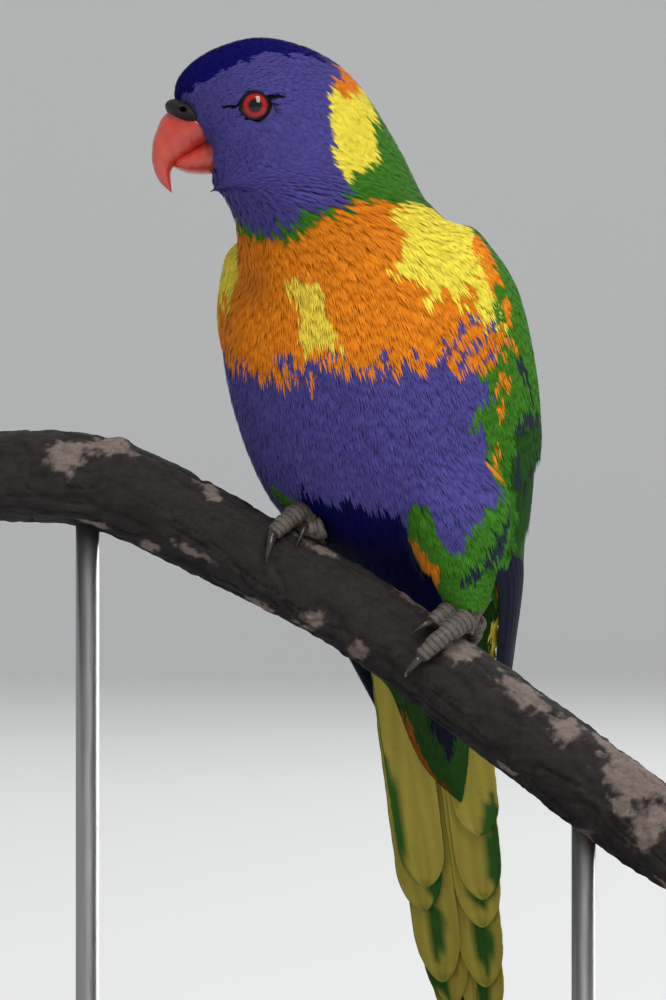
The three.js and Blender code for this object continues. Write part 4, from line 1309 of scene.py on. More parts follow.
def quill_width(t, tip, pointed):
    """The share of its full width that a flight feather has along its length: a narrow root, a round tip."""
    root = 0.3 + (1 - 0.3) * np.clip(t / 0.25, 0, 1) ** 0.6
    end = np.clip((t - tip) / (1 - tip), 0, 1)
    return root * np.maximum(1 - end**pointed, 0) ** (1 / pointed)


BLADE_ROWS, BLADE_ROUND = 56, 20


def blade(place, long, wide, thick, paint, seed, shaft, tip, pointed=2.0, jagged=0.05):
    """One flight feather as a closed thin blade: place turns along, across and lift into a point.

    Round each row the angle goes over the upper face from edge to edge and back under the lower face.
    Across is the cosine of it times the half width, which small notches cut into; lift is its sine times
    half the thickness, plus a ridge along the shaft, less a crown across.
    """
    rng = np.random.default_rng(seed)
    t, around = floats(
        (1 - (1 - np.linspace(0, 1, BLADE_ROWS)) ** 1.35)[:, None], np.linspace(0, 2 * np.pi, BLADE_ROUND + 1)
    )
    across = np.cos(around)
    jag = np.stack([ripple(t[:, 0] * long / 1.7 + seed, seed), ripple(t[:, 0] * long / 1.7, seed + 9)], -1)
    notch = np.where(across > 0, jag[:, :1], jag[:, 1:]) ** 3 * np.abs(across) ** 4
    width = quill_width(t, tip, pointed) * wide / 2 * (1 - jagged * notch)
    offset = across - shaft * (1 - across**2)
    ridge = 0.28 * hump(offset, 0.07) * np.clip(1.2 - t, 0, 1)
    lift = np.sin(around) * (thick / 2 + ridge) - 0.1 * offset**2 * wide / 2
    tints = paint(t, offset, np.sin(around) > 0) * rng.uniform(0.92, 1.06)
    bake = np.stack([(around / 2 / np.pi) * 0.9 + 0.05, 0.02 + 0.96 * t], -1)
    points = place(t * long, np.maximum(width, 0.06) * offset, lift)
    return {"points": points, "tints": tints, "lay": np.stack([t, offset], -1), "bake": bake}


def blade_piece(name, blades):
    """Closed blades as one mesh; in OFBake each has a strip of the map as wide as the others'."""
    shells, tints, lays, bakes = [], [], [], []
    wrap = grid_faces(BLADE_ROWS, BLADE_ROUND + 1)
    j, last = np.arange(BLADE_ROUND), (BLADE_ROWS - 1) * (BLADE_ROUND + 1)
    caps = [np.stack([j + 1, j, j], -1), np.stack([last + j, last + j + 1, last + j], -1)]
    wrap = np.concatenate([wrap, *caps])
    for k, one in enumerate(blades):
        points, faces = closed_shell(one["points"][:, :-1])
        corners = (wrap[:, ::-1] if faces[0, 0] != 0 or faces[0, 1] != 1 else wrap).ravel()
        lays.append(one["lay"].reshape(-1, 2)[corners])
        bakes.append(((one["bake"] + [k, 0]) / [len(blades), 1]).reshape(-1, 2)[corners])
        ends = [one["tints"][:1, :-1].mean(1), one["tints"][-1:, :-1].mean(1)]
        tints.append(np.concatenate([one["tints"][:, :-1].reshape(-1, 3), *ends]))
        shells.append((points, faces))
    maps = (("lay", np.concatenate(lays)), ("OFBake", np.concatenate(bakes)))
    return new_piece(name, *joined(shells), BLADE, maps=maps, tints=np.concatenate(tints))


def shell_line(side, root, tip, level, on_arm):
    """Puts a blade on the wing: along runs from root to tip, both [ahead, degrees]."""
    root, tip = np.array(root, float), np.array(tip, float)
    whole = abs(root[0] - tip[0])

    def place(along, across, lift):
        """The line's own point on the shell, moved square to the line by the distance across."""
        t = along / whole
        ahead = root[0] + (tip[0] - root[0]) * t
        radius = smooth(SHELL[:, 1], row_at(SHELL[:, 0], ahead))
        slope = (tip[1] - root[1]) * np.radians(1) * radius / whole
        turn = root[1] + (tip[1] - root[1]) * t
        off = level + (arm_drop(ahead, turn) if on_arm else -5 * eased(-52, -28, ahead))
        turn = turn + np.degrees(across / radius) / np.sqrt(1 + slope**2)
        return shell(side, ahead + across * slope / np.sqrt(1 + slope**2), turn, off + lift)

    return place, whole


def primary_paint(t, across, top):
    """A long quill's colours: dark blue, a green outer edge near the root, a darker shaft and underside."""
    edge = eased(0.6, 0.95, across) * (1 - eased(0.5, 0.85, t)) * 0.3
    colour = blended(edge, painted(QUILL_NAVY, t.shape), DARK_GREEN)
    colour = blended(hump(across, 0.05) * 0.8, colour, QUILL_NAVY * 0.35)
    return colour * np.where(top, 1.0, 0.8)[..., None]


def secondary_paint(share):
    """A short quill's colours: green, darker for the outer ones, with a dark inner half, tip and shaft."""
    def paint(t, across, top):
        """The colour at a share of its length, across it and above or beneath."""
        green = painted(blended(np.float64(share), GREEN * 0.8, DARK_GREEN), t.shape)
        dark = np.maximum(eased(-0.15, -0.5, across) * 0.85, eased(0.86, 1.0, t) * 0.5)
        return blended(hump(across, 0.05) * 0.7, blended(dark, green, QUILL_NAVY), QUILL_NAVY * 0.5)
    return paint


# The wing's small feathers: distance between rows and length, by distance ahead
WING_ROWS = ([-13, 10, 41], [3.2, 2.6, 2], [12.5, 9.5, 7])
# Its two rows of longer ones: distance ahead of the first and last feather, length, width, lift
WING_COVERTS, COVERT_COUNT = [((4, -8), 18, 8, 0.5), ((-8, -20), 25, 8.6, 0.2)], 14
# Its quills, short then long: root ahead and degrees, tip ahead and degrees, each with its change to the
# last quill; then lift with its change from quill to quill, width, seed, shaft's place and start of the tip
QUILL_COUNT = 9
SHORT_QUILLS = ((-6, -10), (34, 54), (-56, 12), (38, 50), (-0.5, -0.22), 12, 60, 0.25, 0.8)
LONG_QUILLS = ((-24, 0), (102, -51), (-91, 31), (95, -48), (-2.4, 0.2), 12.5, 80, 0.3, 0.7)


def wing_pieces(name):
    """The folded wing: small feathers in rows, then two rows of longer ones, over the flight feathers."""
    side = SIDES[name]
    face, flatter = wing(side), wing(side, 0.62, -0.4)
    lie = Lie(face, (-75, 44.5), (0, 115))
    at, gaps, lengths = WING_ROWS
    roots = quincunx(face, (43.5, -13), (18, 106), lambda ahead: np.interp(ahead, at, gaps), 0.9, 41)
    upper, lower, _ = arm_edges(roots[0])
    roots = roots[:, (roots[1] > upper - 3) & (roots[1] < lower - 3)]
    long = np.interp(roots[0], at, lengths)
    lots = [plumes(face, lie, roots, strips(9, 4, 0.36, 0.22), long, long * 0.55, 2.0, wing_markings, 43,
                   fray=0.7, jumble=0.05, shift=0.3)]
    for ends, size, wide, level in WING_COVERTS:
        share = np.linspace(0, 1, COVERT_COUNT)
        ahead = ends[0] + (ends[1] - ends[0]) * share
        upper, lower, _ = arm_edges(ahead)
        row = np.stack([ahead, upper + 4 + (lower - upper - 8) * share])
        lots.append(plumes(flatter, lie, row, strips(17, 5, 0.4, 0.12), size, wide, 2.2, wing_markings,
                           45 + COVERT_COUNT + size, ruffle=0.03, fray=0.4, jumble=0.02, rise=0,
                           shift=level - 0.03 * np.arange(COVERT_COUNT)))
    roots = quincunx(face, (36, -34), (6, 34), lambda ahead: 2.9 + 0 * ahead, 0.9, 47)
    upper, _, _ = arm_edges(roots[0])
    roots = roots[:, (roots[1] > upper - 12) & (roots[1] < upper + 7)]
    lots.append(plumes(face, lie, roots, strips(9, 4, 0.36, 0.25), 11, 5.6, 3.2, wing_markings, 49, way=0.12,
                       shift=0.5))
    blades = []
    for row in (SHORT_QUILLS, LONG_QUILLS):
        *ends, (level, layer), wide, seed, shaft, tip = row
        for k in range(QUILL_COUNT):
            ahead, turn, far, far_turn = (first + change * (k / (QUILL_COUNT - 1)) for first, change in ends)
            short = row is SHORT_QUILLS
            place, long = shell_line(side, (ahead, turn), (far, far_turn), level + layer * k, short)
            paint = secondary_paint(k / QUILL_COUNT) if short else primary_paint
            blades.append(blade(place, long, wide, 0.4, paint, seed + k, shaft, tip))
    coverts = coat_piece(f"coat_wing_{name}", lots, (-36, 44), (0, 110))
    return coverts, blade_piece(f"flight_feathers_{name}", blades)


TAIL_LENGTHS = {"left": [130, 121, 109, 92, 84, 66], "right": [130, 122, 115, 108, 88, 81]}
TAIL_WIDE, TAIL_SUNK, TAIL_TAPER, TAIL_PAIRS = 15, 6, 0.86, 6
FAN_MIDDLE, FAN_ROOT, FAN_TIP, TAIL_LAYER = 2.6, 1.35, 1.4, 0.6
# Green marks beneath the tail, by feather from the middle pair out: from and to down the tail, then the
# middle across it (1 is the outer edge) and the half width
TAIL_MARKS = {
    "left": [(118, 130, 0, 0.6), (105, 121, 0, 0.5), (87, 105, 0, 0.5), (75, 88, 0, 0.5),
             (61, 83, 0.85, 0.8), (54, 71, 0.75, 0.7)],
    "right": [(114, 130, 0, 0.5), (106, 122, 0, 0.5), (92, 115, 1, 0.8), (82, 102, 0, 0.7),
              (66, 90, -0.75, 0.8), (34, 84, 1.05, 0.6)],
}
# How far each feather's middle line is moved outwards, from the middle pair out
TAIL_SHIFTS = {"left": [0, 0, 0, 0, 0, 0], "right": [0, 0, 0, 0, 1.3, -1.9]}


def tail_paint(name, k):
    """Olive beneath with one fringed green mark; green above, with olive towards the tip."""
    side, whole = SIDES[name], TAIL_LENGTHS[name][k] + TAIL_SUNK
    start, end, at, half = TAIL_MARKS[name][k]

    def paint(t, across, top):
        """The colour at a share of its length, across it and above or beneath."""
        down, outer = t * whole - TAIL_SUNK, side * across
        fringe = ripple(across * 13 + k, down / 14 + 5 * side) - 0.5
        past = (down - (start + end) / 2) / ((end - start) / 2)
        reach = np.hypot(past, (outer - at) / half) * (1 + 1.1 * fringe)
        mark = 1 - eased(0.7, 0.95, reach)
        tip = eased(0.965, 1.0, t) * 0.5
        under = blended(np.maximum(mark, tip), painted(OLIVE, t.shape), TAIL_GREEN)
        over = blended(eased(0.75, 1.0, t) * 0.5, painted(GREEN * 0.8, t.shape), OLIVE)
        return blended(hump(across, 0.05) * 0.4, np.where(top[..., None], over, under), OLIVE * 0.45)
    return paint


def tail_piece():
    """Twelve tail feathers in six pairs, each on its own line of the fan, outer ones nearer the belly."""
    blades = []
    for name, side in SIDES.items():
        for k, whole in enumerate(TAIL_LENGTHS[name]):
            long = whole + TAIL_SUNK
            place, paint = fan_line(name, k, long), tail_paint(name, k)
            blades.append(blade(place, long, TAIL_WIDE, 0.42, paint, 100 + k + 7 * side, 0.15 * side,
                                0.88, pointed=1.8, jagged=0.035))
    return blade_piece("tail_feathers", blades)


def fan_line(name, k, whole):
    """Puts a blade on its line of the fan: the line leaves the tail's middle evenly, the blade tapers."""
    side, shift = SIDES[name], TAIL_SHIFTS[name][k]
    layer = -TAIL_LAYER * (k - (TAIL_PAIRS - 1) / 2) - 0.12 * side

    def place(along, across, lift):
        """The line's point, moved by the distance across, less towards the tip."""
        far = along / whole
        middle = side * (FAN_MIDDLE + shift * far**0.5 + k * (FAN_ROOT + (FAN_TIP - FAN_ROOT) * far))
        return on_tail(along - TAIL_SUNK, layer + lift, middle + across * (1 + (TAIL_TAPER - 1) * far**2))

    return place


def eye_finish(side):
    """A wet eye: black pupil, red iris with fine rays, and a dark rim, by the distance from its axis."""
    finish = Finish(f"eye_{'left' if side > 0 else 'right'}", Roughness=0.1, Coat_Weight=0.8,
                    Coat_Roughness=0.02, Specular_IOR_Level=0.0)
    x, _, z = on_head(EYE_AHEAD, EYE_UP, side * EYE_LEFT) * MM
    flat = finish.place(scale=(1000, 0, 1000), location=(-1000 * x, 0, -1000 * z))
    radius = finish.node("ShaderNodeVectorMath", {"operation": "LENGTH"}, flat, out="Value")
    way = finish.node("ShaderNodeVectorMath", {"operation": "NORMALIZE"}, flat)
    rays = finish.noise(way, 16.0, 3.0, 0.7)
    stops = [(0, linear(1, 1, 1)), (PUPIL / 4 - 0.005, linear(1, 1, 1)), (PUPIL / 4 + 0.03, linear(70, 5, 4)),
             (0.54, linear(160, 13, 11)), (0.68, linear(138, 10, 9)), (0.77, linear(58, 4, 4)),
             (0.83, linear(6, 4, 5))]
    colour = finish.node("ShaderNodeValToRGB", {"stops": stops}, (radius + rays * 0.12) / 4 - 0.012)
    pale = finish.mix((rays - 0.45) * 0.8, (1, 1, 1), (0.25, 0.1, 0.1))
    return finish.set(Base_Color=finish.mix(1.0, colour, pale, "MULTIPLY"))


def eye_piece(name):
    """The eyeball: a sphere by its angle from the eye's axis, with the clear front's low bulge."""
    side = SIDES[name]
    polar = np.linspace(0.03, 3.0, 60)[:, None]
    out = EYE_BALL + 0.22 * hump(np.sin(polar) * EYE_BALL, 2.7) * (polar < 1.6)
    rings = on_eye(side, out * np.sin(polar), circle(72), out * np.cos(polar))
    return new_piece(f"eyeball_{name}", *closed_shell(rings), eye_finish(side))


# The bill's sections from the face to the tip: upper line ahead and up, lower line ahead and up, half width
UPPER_BILL = np.array([
    [13, -3, 9.5, -8, 4], [16.5, -1.2, 10.5, -9, 6.1], [20.8, -0.8, 14, -11, 5.9],
    [23.8, -4.4, 17.2, -13.2, 5.1], [25.5, -9.8, 20, -14.9, 4], [25.4, -14.8, 21, -16.9, 2.7],
    [23.7, -18.8, 20.9, -19, 1.4], [20.7, -21.6, 20.7, -21.6, 0],
])
LOWER_BILL = np.array([
    [7, -9.4, 7, -14.6, 3.5], [9, -7.2, 8.4, -16.4, 5.5], [12.5, -8.9, 12.2, -17, 5.6],
    [16.3, -11.4, 16.4, -16.8, 4.8], [19.2, -13, 19.2, -15.8, 3.3], [20.8, -14.6, 20.8, -14.6, 0],
])


def horn(rows, along, around, groove, keel):
    """One half of the bill: sections between an upper and a lower line, growth rings and a ridge on top.

    A section is an ellipse from its lower to its upper point, its sides filled out a little below.
    """
    v = (1 - (1 - np.linspace(0, 1, along)) ** 1.25)[:, None]
    turn = circle(around)
    top_ahead, top_up, low_ahead, low_up, wide = np.moveaxis(smooth(rows, (len(rows) - 1) * v), -1, 0)
    rings = groove * np.sin(46 * v + 2 * np.cos(turn)) * np.sin(np.pi * v) ** 0.5
    share = 0.5 * np.cos(turn) * (1 + 0.015 * rings)
    ridge = 1 - keel * hump(np.cos(turn), 0.1, 1)
    side = np.maximum(wide, 0.01) * np.sin(turn) * (1 + rings * 0.02) * ridge
    ahead = (top_ahead + low_ahead) / 2 + (top_ahead - low_ahead) * share
    up = (top_up + low_up) / 2 + (top_up - low_up) * share
    return closed_shell(on_head(ahead, up, side))


def bill_finish():
    """Red horn, paler on the ridge and darker low down, with fine streaks and a gloss."""
    finish = Finish("bill_horn", Specular_IOR_Level=0.5, Coat_Weight=0.35, Coat_Roughness=0.18)
    spot = finish.place(location=tuple(-on_head(20, -10) * MM))
    streaks = finish.noise(finish.place(scale=(500, 900, 260)), 1.0, 4.0, 0.6)
    blotch = finish.noise(finish.place(scale=(130, 130, 130)), 1.0, 2.0)
    x, z = (finish.node("ShaderNodeSeparateXYZ", None, spot, out=k) for k in (0, 2))
    front = (x * -70.0 + 0.35 + blotch * 0.3).step(0.45, 1.0)
    base = finish.mix(front, linear(178, 54, 40), linear(200, 78, 58))
    colour = finish.mix((z * -110.0 - 0.55).step(0.2, 1.0) * 0.45, base, linear(134, 42, 38))
    colour = finish.mix(streaks.step(0.42, 0.85) * 0.35, colour, linear(150, 40, 32))
    bump = finish.bump(streaks, 0.00008, 0.5)
    return finish.set(Base_Color=colour, Roughness=streaks * 0.15 + 0.22, Normal=bump)


# The cere on the head: its middle ahead and up, half length, height and width, tilt in degrees, and the
# nostril's middle and half size
CERE_AT, CERE_SIZE, CERE_TILT = (17, -2), (5.8, 2.9, 7.8), 27
NOSTRIL_AT, NOSTRIL_SIZE = (17.7, -1.5), (0.75, 0.6)


def cere_piece():
    """The cere: a tilted ellipsoid with a nostril sunk into each side and fine wrinkles.

    Its width is narrowed in the nostril by a steep hump and widened a little at the nostril's rim.
    """
    v, turn = floats(np.linspace(0.02, 0.98, 80)[:, None] * np.pi, circle(120))
    tilt = np.radians(CERE_TILT)
    along, high = CERE_SIZE[0] * np.cos(v), CERE_SIZE[1] * np.sin(v) * np.cos(turn)
    ahead = CERE_AT[0] + along * np.cos(tilt) - high * np.sin(tilt)
    up = CERE_AT[1] + along * np.sin(tilt) + high * np.cos(tilt)
    out = CERE_SIZE[2] * np.sin(v) * np.sin(turn)
    off = [(a - at) / size for a, at, size in zip((ahead, up), NOSTRIL_AT, NOSTRIL_SIZE)]
    hole = np.exp(-((off[0] ** 2 + off[1] ** 2) ** 1.5))
    squeeze = 1 - 0.3 * hole + 0.02 * hump(np.hypot(*off), 0.4, 1.5) + 0.012 * np.sin(ahead * 7 + up * 4)
    points, faces = closed_shell(on_head(ahead, up, out * squeeze))
    tint = painted(linear(34, 27, 29), out.shape)
    # The nostril's dent is painted nearly black: painted shade for the inside of the hole
    tint = blended((np.abs(out) > 3) * hole, tint, linear(4, 3, 4)).reshape(-1, 3)
    return new_piece("bill_cere", points, faces, SKIN, tints=np.concatenate([tint, tint[:1], tint[-1:]]))


def toe_line(share, toe):
    """A toe's middle line off the bark and its thickness; its root is raised to meet the shank."""
    turns, alongs, girth = toe
    thick = TOE_RADIUS * girth

    def path(v, off=0.0):
        """Degrees and distance along go evenly from root to end; the root's rise falls as a cube."""
        turn, along = turns[0] + (turns[1] - turns[0]) * v, alongs[0] + (alongs[1] - alongs[0]) * v
        return beside_perch(share, turn, along, BARK_CLEAR + thick + 1.6 * (1 - v) ** 3 + off)

    return path, thick


def claw_line(share, toe):
    """A claw's middle line: it goes on from the toe's end to the bark in a low arch."""
    turns, alongs, girth = toe
    thick = TOE_RADIUS * girth

    def path(v, off=0.0):
        """Degrees and distance along go evenly from within the toe to the tip, on half a sine's arch."""
        far = -0.14 + 1.14 * v
        turn, along = turns[1] + (turns[2] - turns[1]) * far, alongs[1] + (alongs[2] - alongs[1]) * far
        arch = 1.5 * np.sin(np.pi * np.clip(far, 0, 1))
        return beside_perch(share, turn, along, BARK_CLEAR + thick * (1 - 0.9 * v * v) + arch + off)

    return path, CLAW_RADIUS * girth


def swept(path, v, radius, around, tall=1.0):
    """A tube along a line: rings at a right angle to it, angle 0 on the side away from the branch."""
    here = path(v)
    ahead = unit(path(np.minimum(v + 0.01, 1)) - path(np.maximum(v - 0.01, 0)))
    out = path(v, 1.0) - here
    out = unit(out - ahead * np.sum(out * ahead, -1, keepdims=True))
    third = np.cross(ahead, out)
    turn, radius = circle(around)[..., None], np.asarray(radius)[:, None, None]
    return here[:, None] + radius * (out[:, None] * np.cos(turn) * tall + third[:, None] * np.sin(turn))


FOOT_CELL, SCUTE_LONG, FOOT_ROUND = 0.27, 1.5, 48
# The foot's own colour, and the painted shade of its grooves and pad hollows
FOOT_PALE, FOOT_GROOVE_SHADE = linear(95, 87, 80), linear(30, 27, 26)


def foot_piece(name):
    """The bare foot: shank and four toes melted into one skin, with plates across the toes' upper sides.

    The shank widens to the sole with the square of the way down. A toe thins to its end in three low
    swells and is rounded off at both ends. A plate's height rises along it and drops at its end; the soles
    have round pads.
    """
    share = perch_share(FOOT_X[name])
    top = beside_perch(share, TARSUS_LEAN, 0, TARSUS_HIGH)
    sole = beside_perch(share, 0, 0, BARK_CLEAR + 0.3)
    degrees = np.linspace(0, 360, FOOT_ROUND, endpoint=False)
    v, turn = floats(np.linspace(0.01, 0.99, 50)[:, None], degrees)
    axis, run = unit(sole - top), perch_at(share)[1]
    across = unit(run - axis * (run @ axis))
    circling = np.radians(turn)[..., None]
    spoke = across * np.cos(circling) + np.cross(across, axis) * np.sin(circling)
    girth = TARSUS_ANKLE + (TARSUS_SOLE - TARSUS_ANKLE) * v**2
    girth = girth * np.minimum(1, 0.55 + 9 * (1 - v)) * np.minimum(1, 0.6 + 9 * v)
    shank = top + (sole - top) * v[..., None] + spoke * girth[..., None]
    parts = [(shank, np.stack([np.full(turn.shape, -1.0), turn], -1))]
    for toe in TOES[name].values():
        path, thick = toe_line(share, toe)
        v = np.linspace(0, 1, 90)
        length = np.linalg.norm(np.diff(path(v), axis=0), axis=1).sum()
        radius = thick * (1.32 - 0.8 * v + 0.3 * v**2) * (1 + 0.07 * np.cos(6 * np.pi * v))
        for way, whole in ((v - 0.9, 0.1), (0.06 - v, 0.06)):
            radius = radius * np.sqrt(1 - np.clip(way / whole, 0, 0.97) ** 2)
        plates, turn = floats((v * length / SCUTE_LONG)[:, None], degrees)
        parts.append((swept(path, v, radius, FOOT_ROUND), np.stack([plates, turn], -1)))
    points, triangles, normals, facts = melted(parts, FOOT_CELL, 3)
    plates, turn = facts[:, 0], np.radians(facts[:, 1])
    upper = eased(-0.1, 0.45, np.cos(turn)) * (plates >= 0)
    frac = np.mod(plates - 0.25 * np.cos(turn), 1)
    plate = 0.17 * (frac**0.7) * (1 - eased(0.86, 1.0, frac))
    pads, grain = lumps(points / 0.75), lumps(points / 0.5 + 9)
    height = plate * upper + 0.22 * (pads - 0.5) * (1 - upper) + 0.05 * grain
    # The grooves between plates and the hollows between the sole's pads are darkened: painted shade
    groove = np.maximum(eased(0.84, 0.94, frac), 1 - eased(0.0, 0.1, frac)) * upper
    shade = np.clip(groove * 0.9 + (1 - upper) * eased(0.5, 0.25, pads) * 0.75, 0, 1)
    tints = blended(shade, painted(FOOT_PALE, shade.shape), FOOT_GROOVE_SHADE) * (0.8 + 0.4 * grain[:, None])
    return new_piece(f"foot_{name}", points + normals * height[:, None], triangles, SKIN, tints=tints)


def claws_piece(name, finish):
    """Four curved claws, each a tube along its line that thins to a point."""
    v = np.linspace(0, 1, 60)
    shells = []
    for toe in TOES[name].values():
        path, thick = claw_line(perch_share(FOOT_X[name]), toe)
        radius = thick * (1 - 0.95 * v**1.15) * (1 + 0.02 * np.sin(60 * v))
        shells.append(closed_shell(swept(path, v, radius, 28, 1.12)))
    return new_piece(f"claws_{name}", *joined(shells), finish)


# The stub of a side branch: where it leaves the branch, its lean in degrees, its length and radius
STUB_X, STUB_LEAN, STUB_LONG, STUB_RADIUS = -66, 10, 16.5, 10.4
BARK_CELL, BARK_UNDER = 0.75, 0.35
BARK_DARK, BARK_SHADED, BARK_PALE = linear(37, 32, 31), linear(17, 16, 23), linear(126, 111, 103)
WOOD_PALE, WOOD_RING = linear(176, 142, 100), linear(128, 94, 62)
# Pale blotches of the bark: share of its length, degrees round from the top, length and width in mm
PALE_SPOTS = [
    (0.123, 54, 5.5, 7), (0.162, 24, 7, 5), (0.279, 21, 5, 2.5), (0.293, 38, 3, 2), (0.303, 122, 8, 1.8),
    (0.42, 18, 9, 3.5), (0.466, 124, 3.5, 3), (0.53, 129, 3, 4), (0.545, -2, 9, 4), (0.626, 26, 5.5, 8.5),
    (0.716, 29, 9.5, 6), (0.781, 38, 5.5, 6), (0.831, 20, 6, 3.5), (0.879, 35, 12, 9.5), (0.885, 84, 4, 3.5),
    (0.922, 92, 5.5, 6), (0.924, 66, 4, 4.5),
]


def perch_piece():
    """The branch with its short stub, melted into one: long shallow fissures in dark bark, cut ends.

    The branch is rings about its middle line, wavy round and along; the stub is rings that shrink to its
    round end. The bark's height is a trough where drawn-out noise is near its middle, plus finer noise.
    """
    inner, turn = floats(np.linspace(0, 1, 240)[:, None], np.linspace(0, 360, 120, endpoint=False))
    centre, _, up, near, radius = perch_at(inner)
    angle, v = np.radians(turn), (1 + inner * 18) / 20
    lump = 1 + 0.03 * np.sin(3 * angle + 14 * v) + 0.02 * np.sin(5 * angle - 23 * v)
    reach = ((radius - BARK_UNDER) * lump)[..., None]
    rings = centre + up * reach * np.cos(angle)[..., None] + near * reach * np.sin(angle)[..., None]
    foot, aim, rise, _, _ = perch_at(perch_share(STUB_X))
    lean = np.radians(STUB_LEAN)
    aim, side = aim * np.cos(lean) + rise * np.sin(lean), np.cross(aim, rise)
    rise = np.cross(aim, side)
    far, angle = np.linspace(0.02, 0.995, 60)[:, None, None], angle[:1, :, None]
    size = (STUB_RADIUS - 0.3) * np.sqrt(1 - far**6)
    circling = side * np.sin(angle) + rise * np.cos(angle)
    stub = foot + aim * STUB_LONG * np.sin(np.pi / 2 * far) + size * circling
    parts = [(rings, np.stack([inner, turn], -1)), (stub, None)]
    points, triangles, normals, facts = melted(parts, BARK_CELL, 3)
    share, around = facts.T
    middle, run = perch_at(share)[:2]
    cut = ((share < 0.01) | (share > 0.99)) & (np.abs(np.sum(run * normals, -1)) > 0.75)
    fissure = lumps(np.stack([points[:, 0] / 9, *(normals[:, 1:] * 5).T], -1) + 3)
    trough = -0.8 * hump(np.abs(fissure - 0.5) * 2, 0.13)
    rough = lumps(points / np.array([3.0, 1.8, 1.8]))
    fine = lumps(points / np.array([1.5, 1.0, 1.0]) + 5)
    height = np.where(cut, 0.06 * fine, trough + 0.6 * (rough - 0.5) + 0.35 * fine)
    pale = np.zeros(len(points))
    frayed = lumps(points / 1.6 + 11) * 0.9 + lumps(points / 0.8) * 0.5
    for at, angle_at, along, wide in PALE_SPOTS:
        past, beside = (share - at) * PERCH_LENGTH / along, signed(around - angle_at) / 57.3 * 11 / wide
        pale = np.maximum(pale, eased(1.25, 0.75, 1.35 * np.hypot(past, beside) + frayed - 0.7))
    scatter = eased(0.7, 0.78, lumps(points / np.array([9.0, 5.0, 5.0]) + 21)) * eased(0.35, 0.6, frayed)
    pale = np.maximum(pale, scatter * (np.cos(np.radians(around - 60)) < 0.2))
    bark = painted(BARK_DARK, pale.shape) * (0.65 + 0.6 * rough[:, None])
    bark = blended(eased(-0.1, -0.7, np.cos(np.radians(around - 25))) * 0.85, bark, BARK_SHADED)
    bark = blended(pale * (0.65 + 0.35 * fine), bark, BARK_PALE)
    year = 0.5 + 0.5 * np.sin(np.linalg.norm(points - middle, axis=-1) * 4.4)
    wood = blended(year * 0.5, painted(WOOD_PALE, pale.shape), WOOD_RING)
    tints = np.where(cut[:, None], wood, bark)
    return new_piece("branch", points + normals * height[:, None], triangles, bark_finish(), tints=tints)


def bark_finish():
    """The branch's own colour, darker where fine noise is high, and matt, with a fine grit."""
    finish = Finish("bark_and_cut_wood", Specular_IOR_Level=0.25)
    tint = finish.tint()
    fine = finish.noise(finish.place(scale=(700, 1100, 1100)), 1.0, 5.0, 0.65)
    grit = finish.noise(finish.place(), 3200.0, 2.0)
    darker = finish.mix(1.0, tint, (0.35, 0.33, 0.33), "MULTIPLY")
    colour = finish.mix(fine.step(0.35, 0.8) * 0.6, tint, darker)
    bump = finish.bump(fine + grit * 0.4, 0.0005, 0.7)
    return finish.set(Base_Color=colour, Roughness=fine * 0.2 + 0.7, Normal=bump)


BASE_LONG, BASE_DEEP, BASE_THICK, BASE_CORNER, BASE_BEVEL = 184, 140, 12, 20, 1.2
ROD_RADIUS, ROD_X = 3, (-62, 62)


def board_piece():
    """The stand's board: a rounded rectangle drawn in by a quarter circle at its upper and lower edges."""
    corner = np.concatenate([np.linspace(0, np.pi / 2, 14) + k * np.pi / 2 for k in range(4)])
    sign_x, sign_y = np.repeat([1, -1, -1, 1], 14), np.repeat([1, 1, -1, -1], 14)
    bend = np.linspace(0, np.pi / 2, 7)
    out, up = BASE_BEVEL * (1 - np.sin(bend)), BASE_BEVEL * (1 - np.cos(bend))
    inset = np.concatenate([[60, 20, 4], out, up, [4, 20, 60]])
    high = np.concatenate([[0] * 3, up, BASE_THICK - out, [BASE_THICK] * 3])
    radius = np.maximum(BASE_CORNER - inset, 0)[:, None]
    half_x, half_y = ((size / 2 - np.maximum(inset, BASE_CORNER))[:, None] for size in (BASE_LONG, BASE_DEEP))
    x, y = sign_x * half_x + radius * np.cos(corner), sign_y * half_y + radius * np.sin(corner)
    rings = np.stack(floats(x, y, high[:, None]), -1)
    return new_piece("display_board", *closed_shell(rings), board_finish())


def board_finish():
    """Satin-varnished dark wood: waves of grain along the board, wandering a little, and fine pores."""
    finish = Finish("varnished_board", Coat_Weight=0.3, Coat_Roughness=0.25)
    grain = finish.noise(finish.place(scale=(14, 190, 60)), 1.0, 6.0, 0.62)
    wander = finish.noise(finish.place(scale=(9, 26, 26)), 1.0, 2.0)
    lines = ((grain * 9 + wander * 8) * 2.4).sine() * 0.5 + 0.5
    pores = finish.noise(finish.place(scale=(160, 2400, 900)), 1.0, 2.0)
    colour = finish.mix(lines * 0.55, linear(96, 66, 44), linear(62, 41, 28))
    colour = finish.mix(pores.step(0.55, 0.75) * 0.5, colour, linear(40, 26, 18))
    bump = finish.bump(pores, 0.0001, 0.4)
    return finish.set(Base_Color=colour, Roughness=pores * 0.12 + 0.36, Normal=bump)


# A rod's collar, from its foot up: height over the board's top, radius
COLLAR = [(-0.5, 5.6), (2.6, 5.6), (3, 5.5), (3.3, 5.2), (3.4, 4.6), (3.4, 3.4), (3.2, ROD_RADIUS)]
ROD_SUNK = 4  # how far below the branch's middle a rod ends


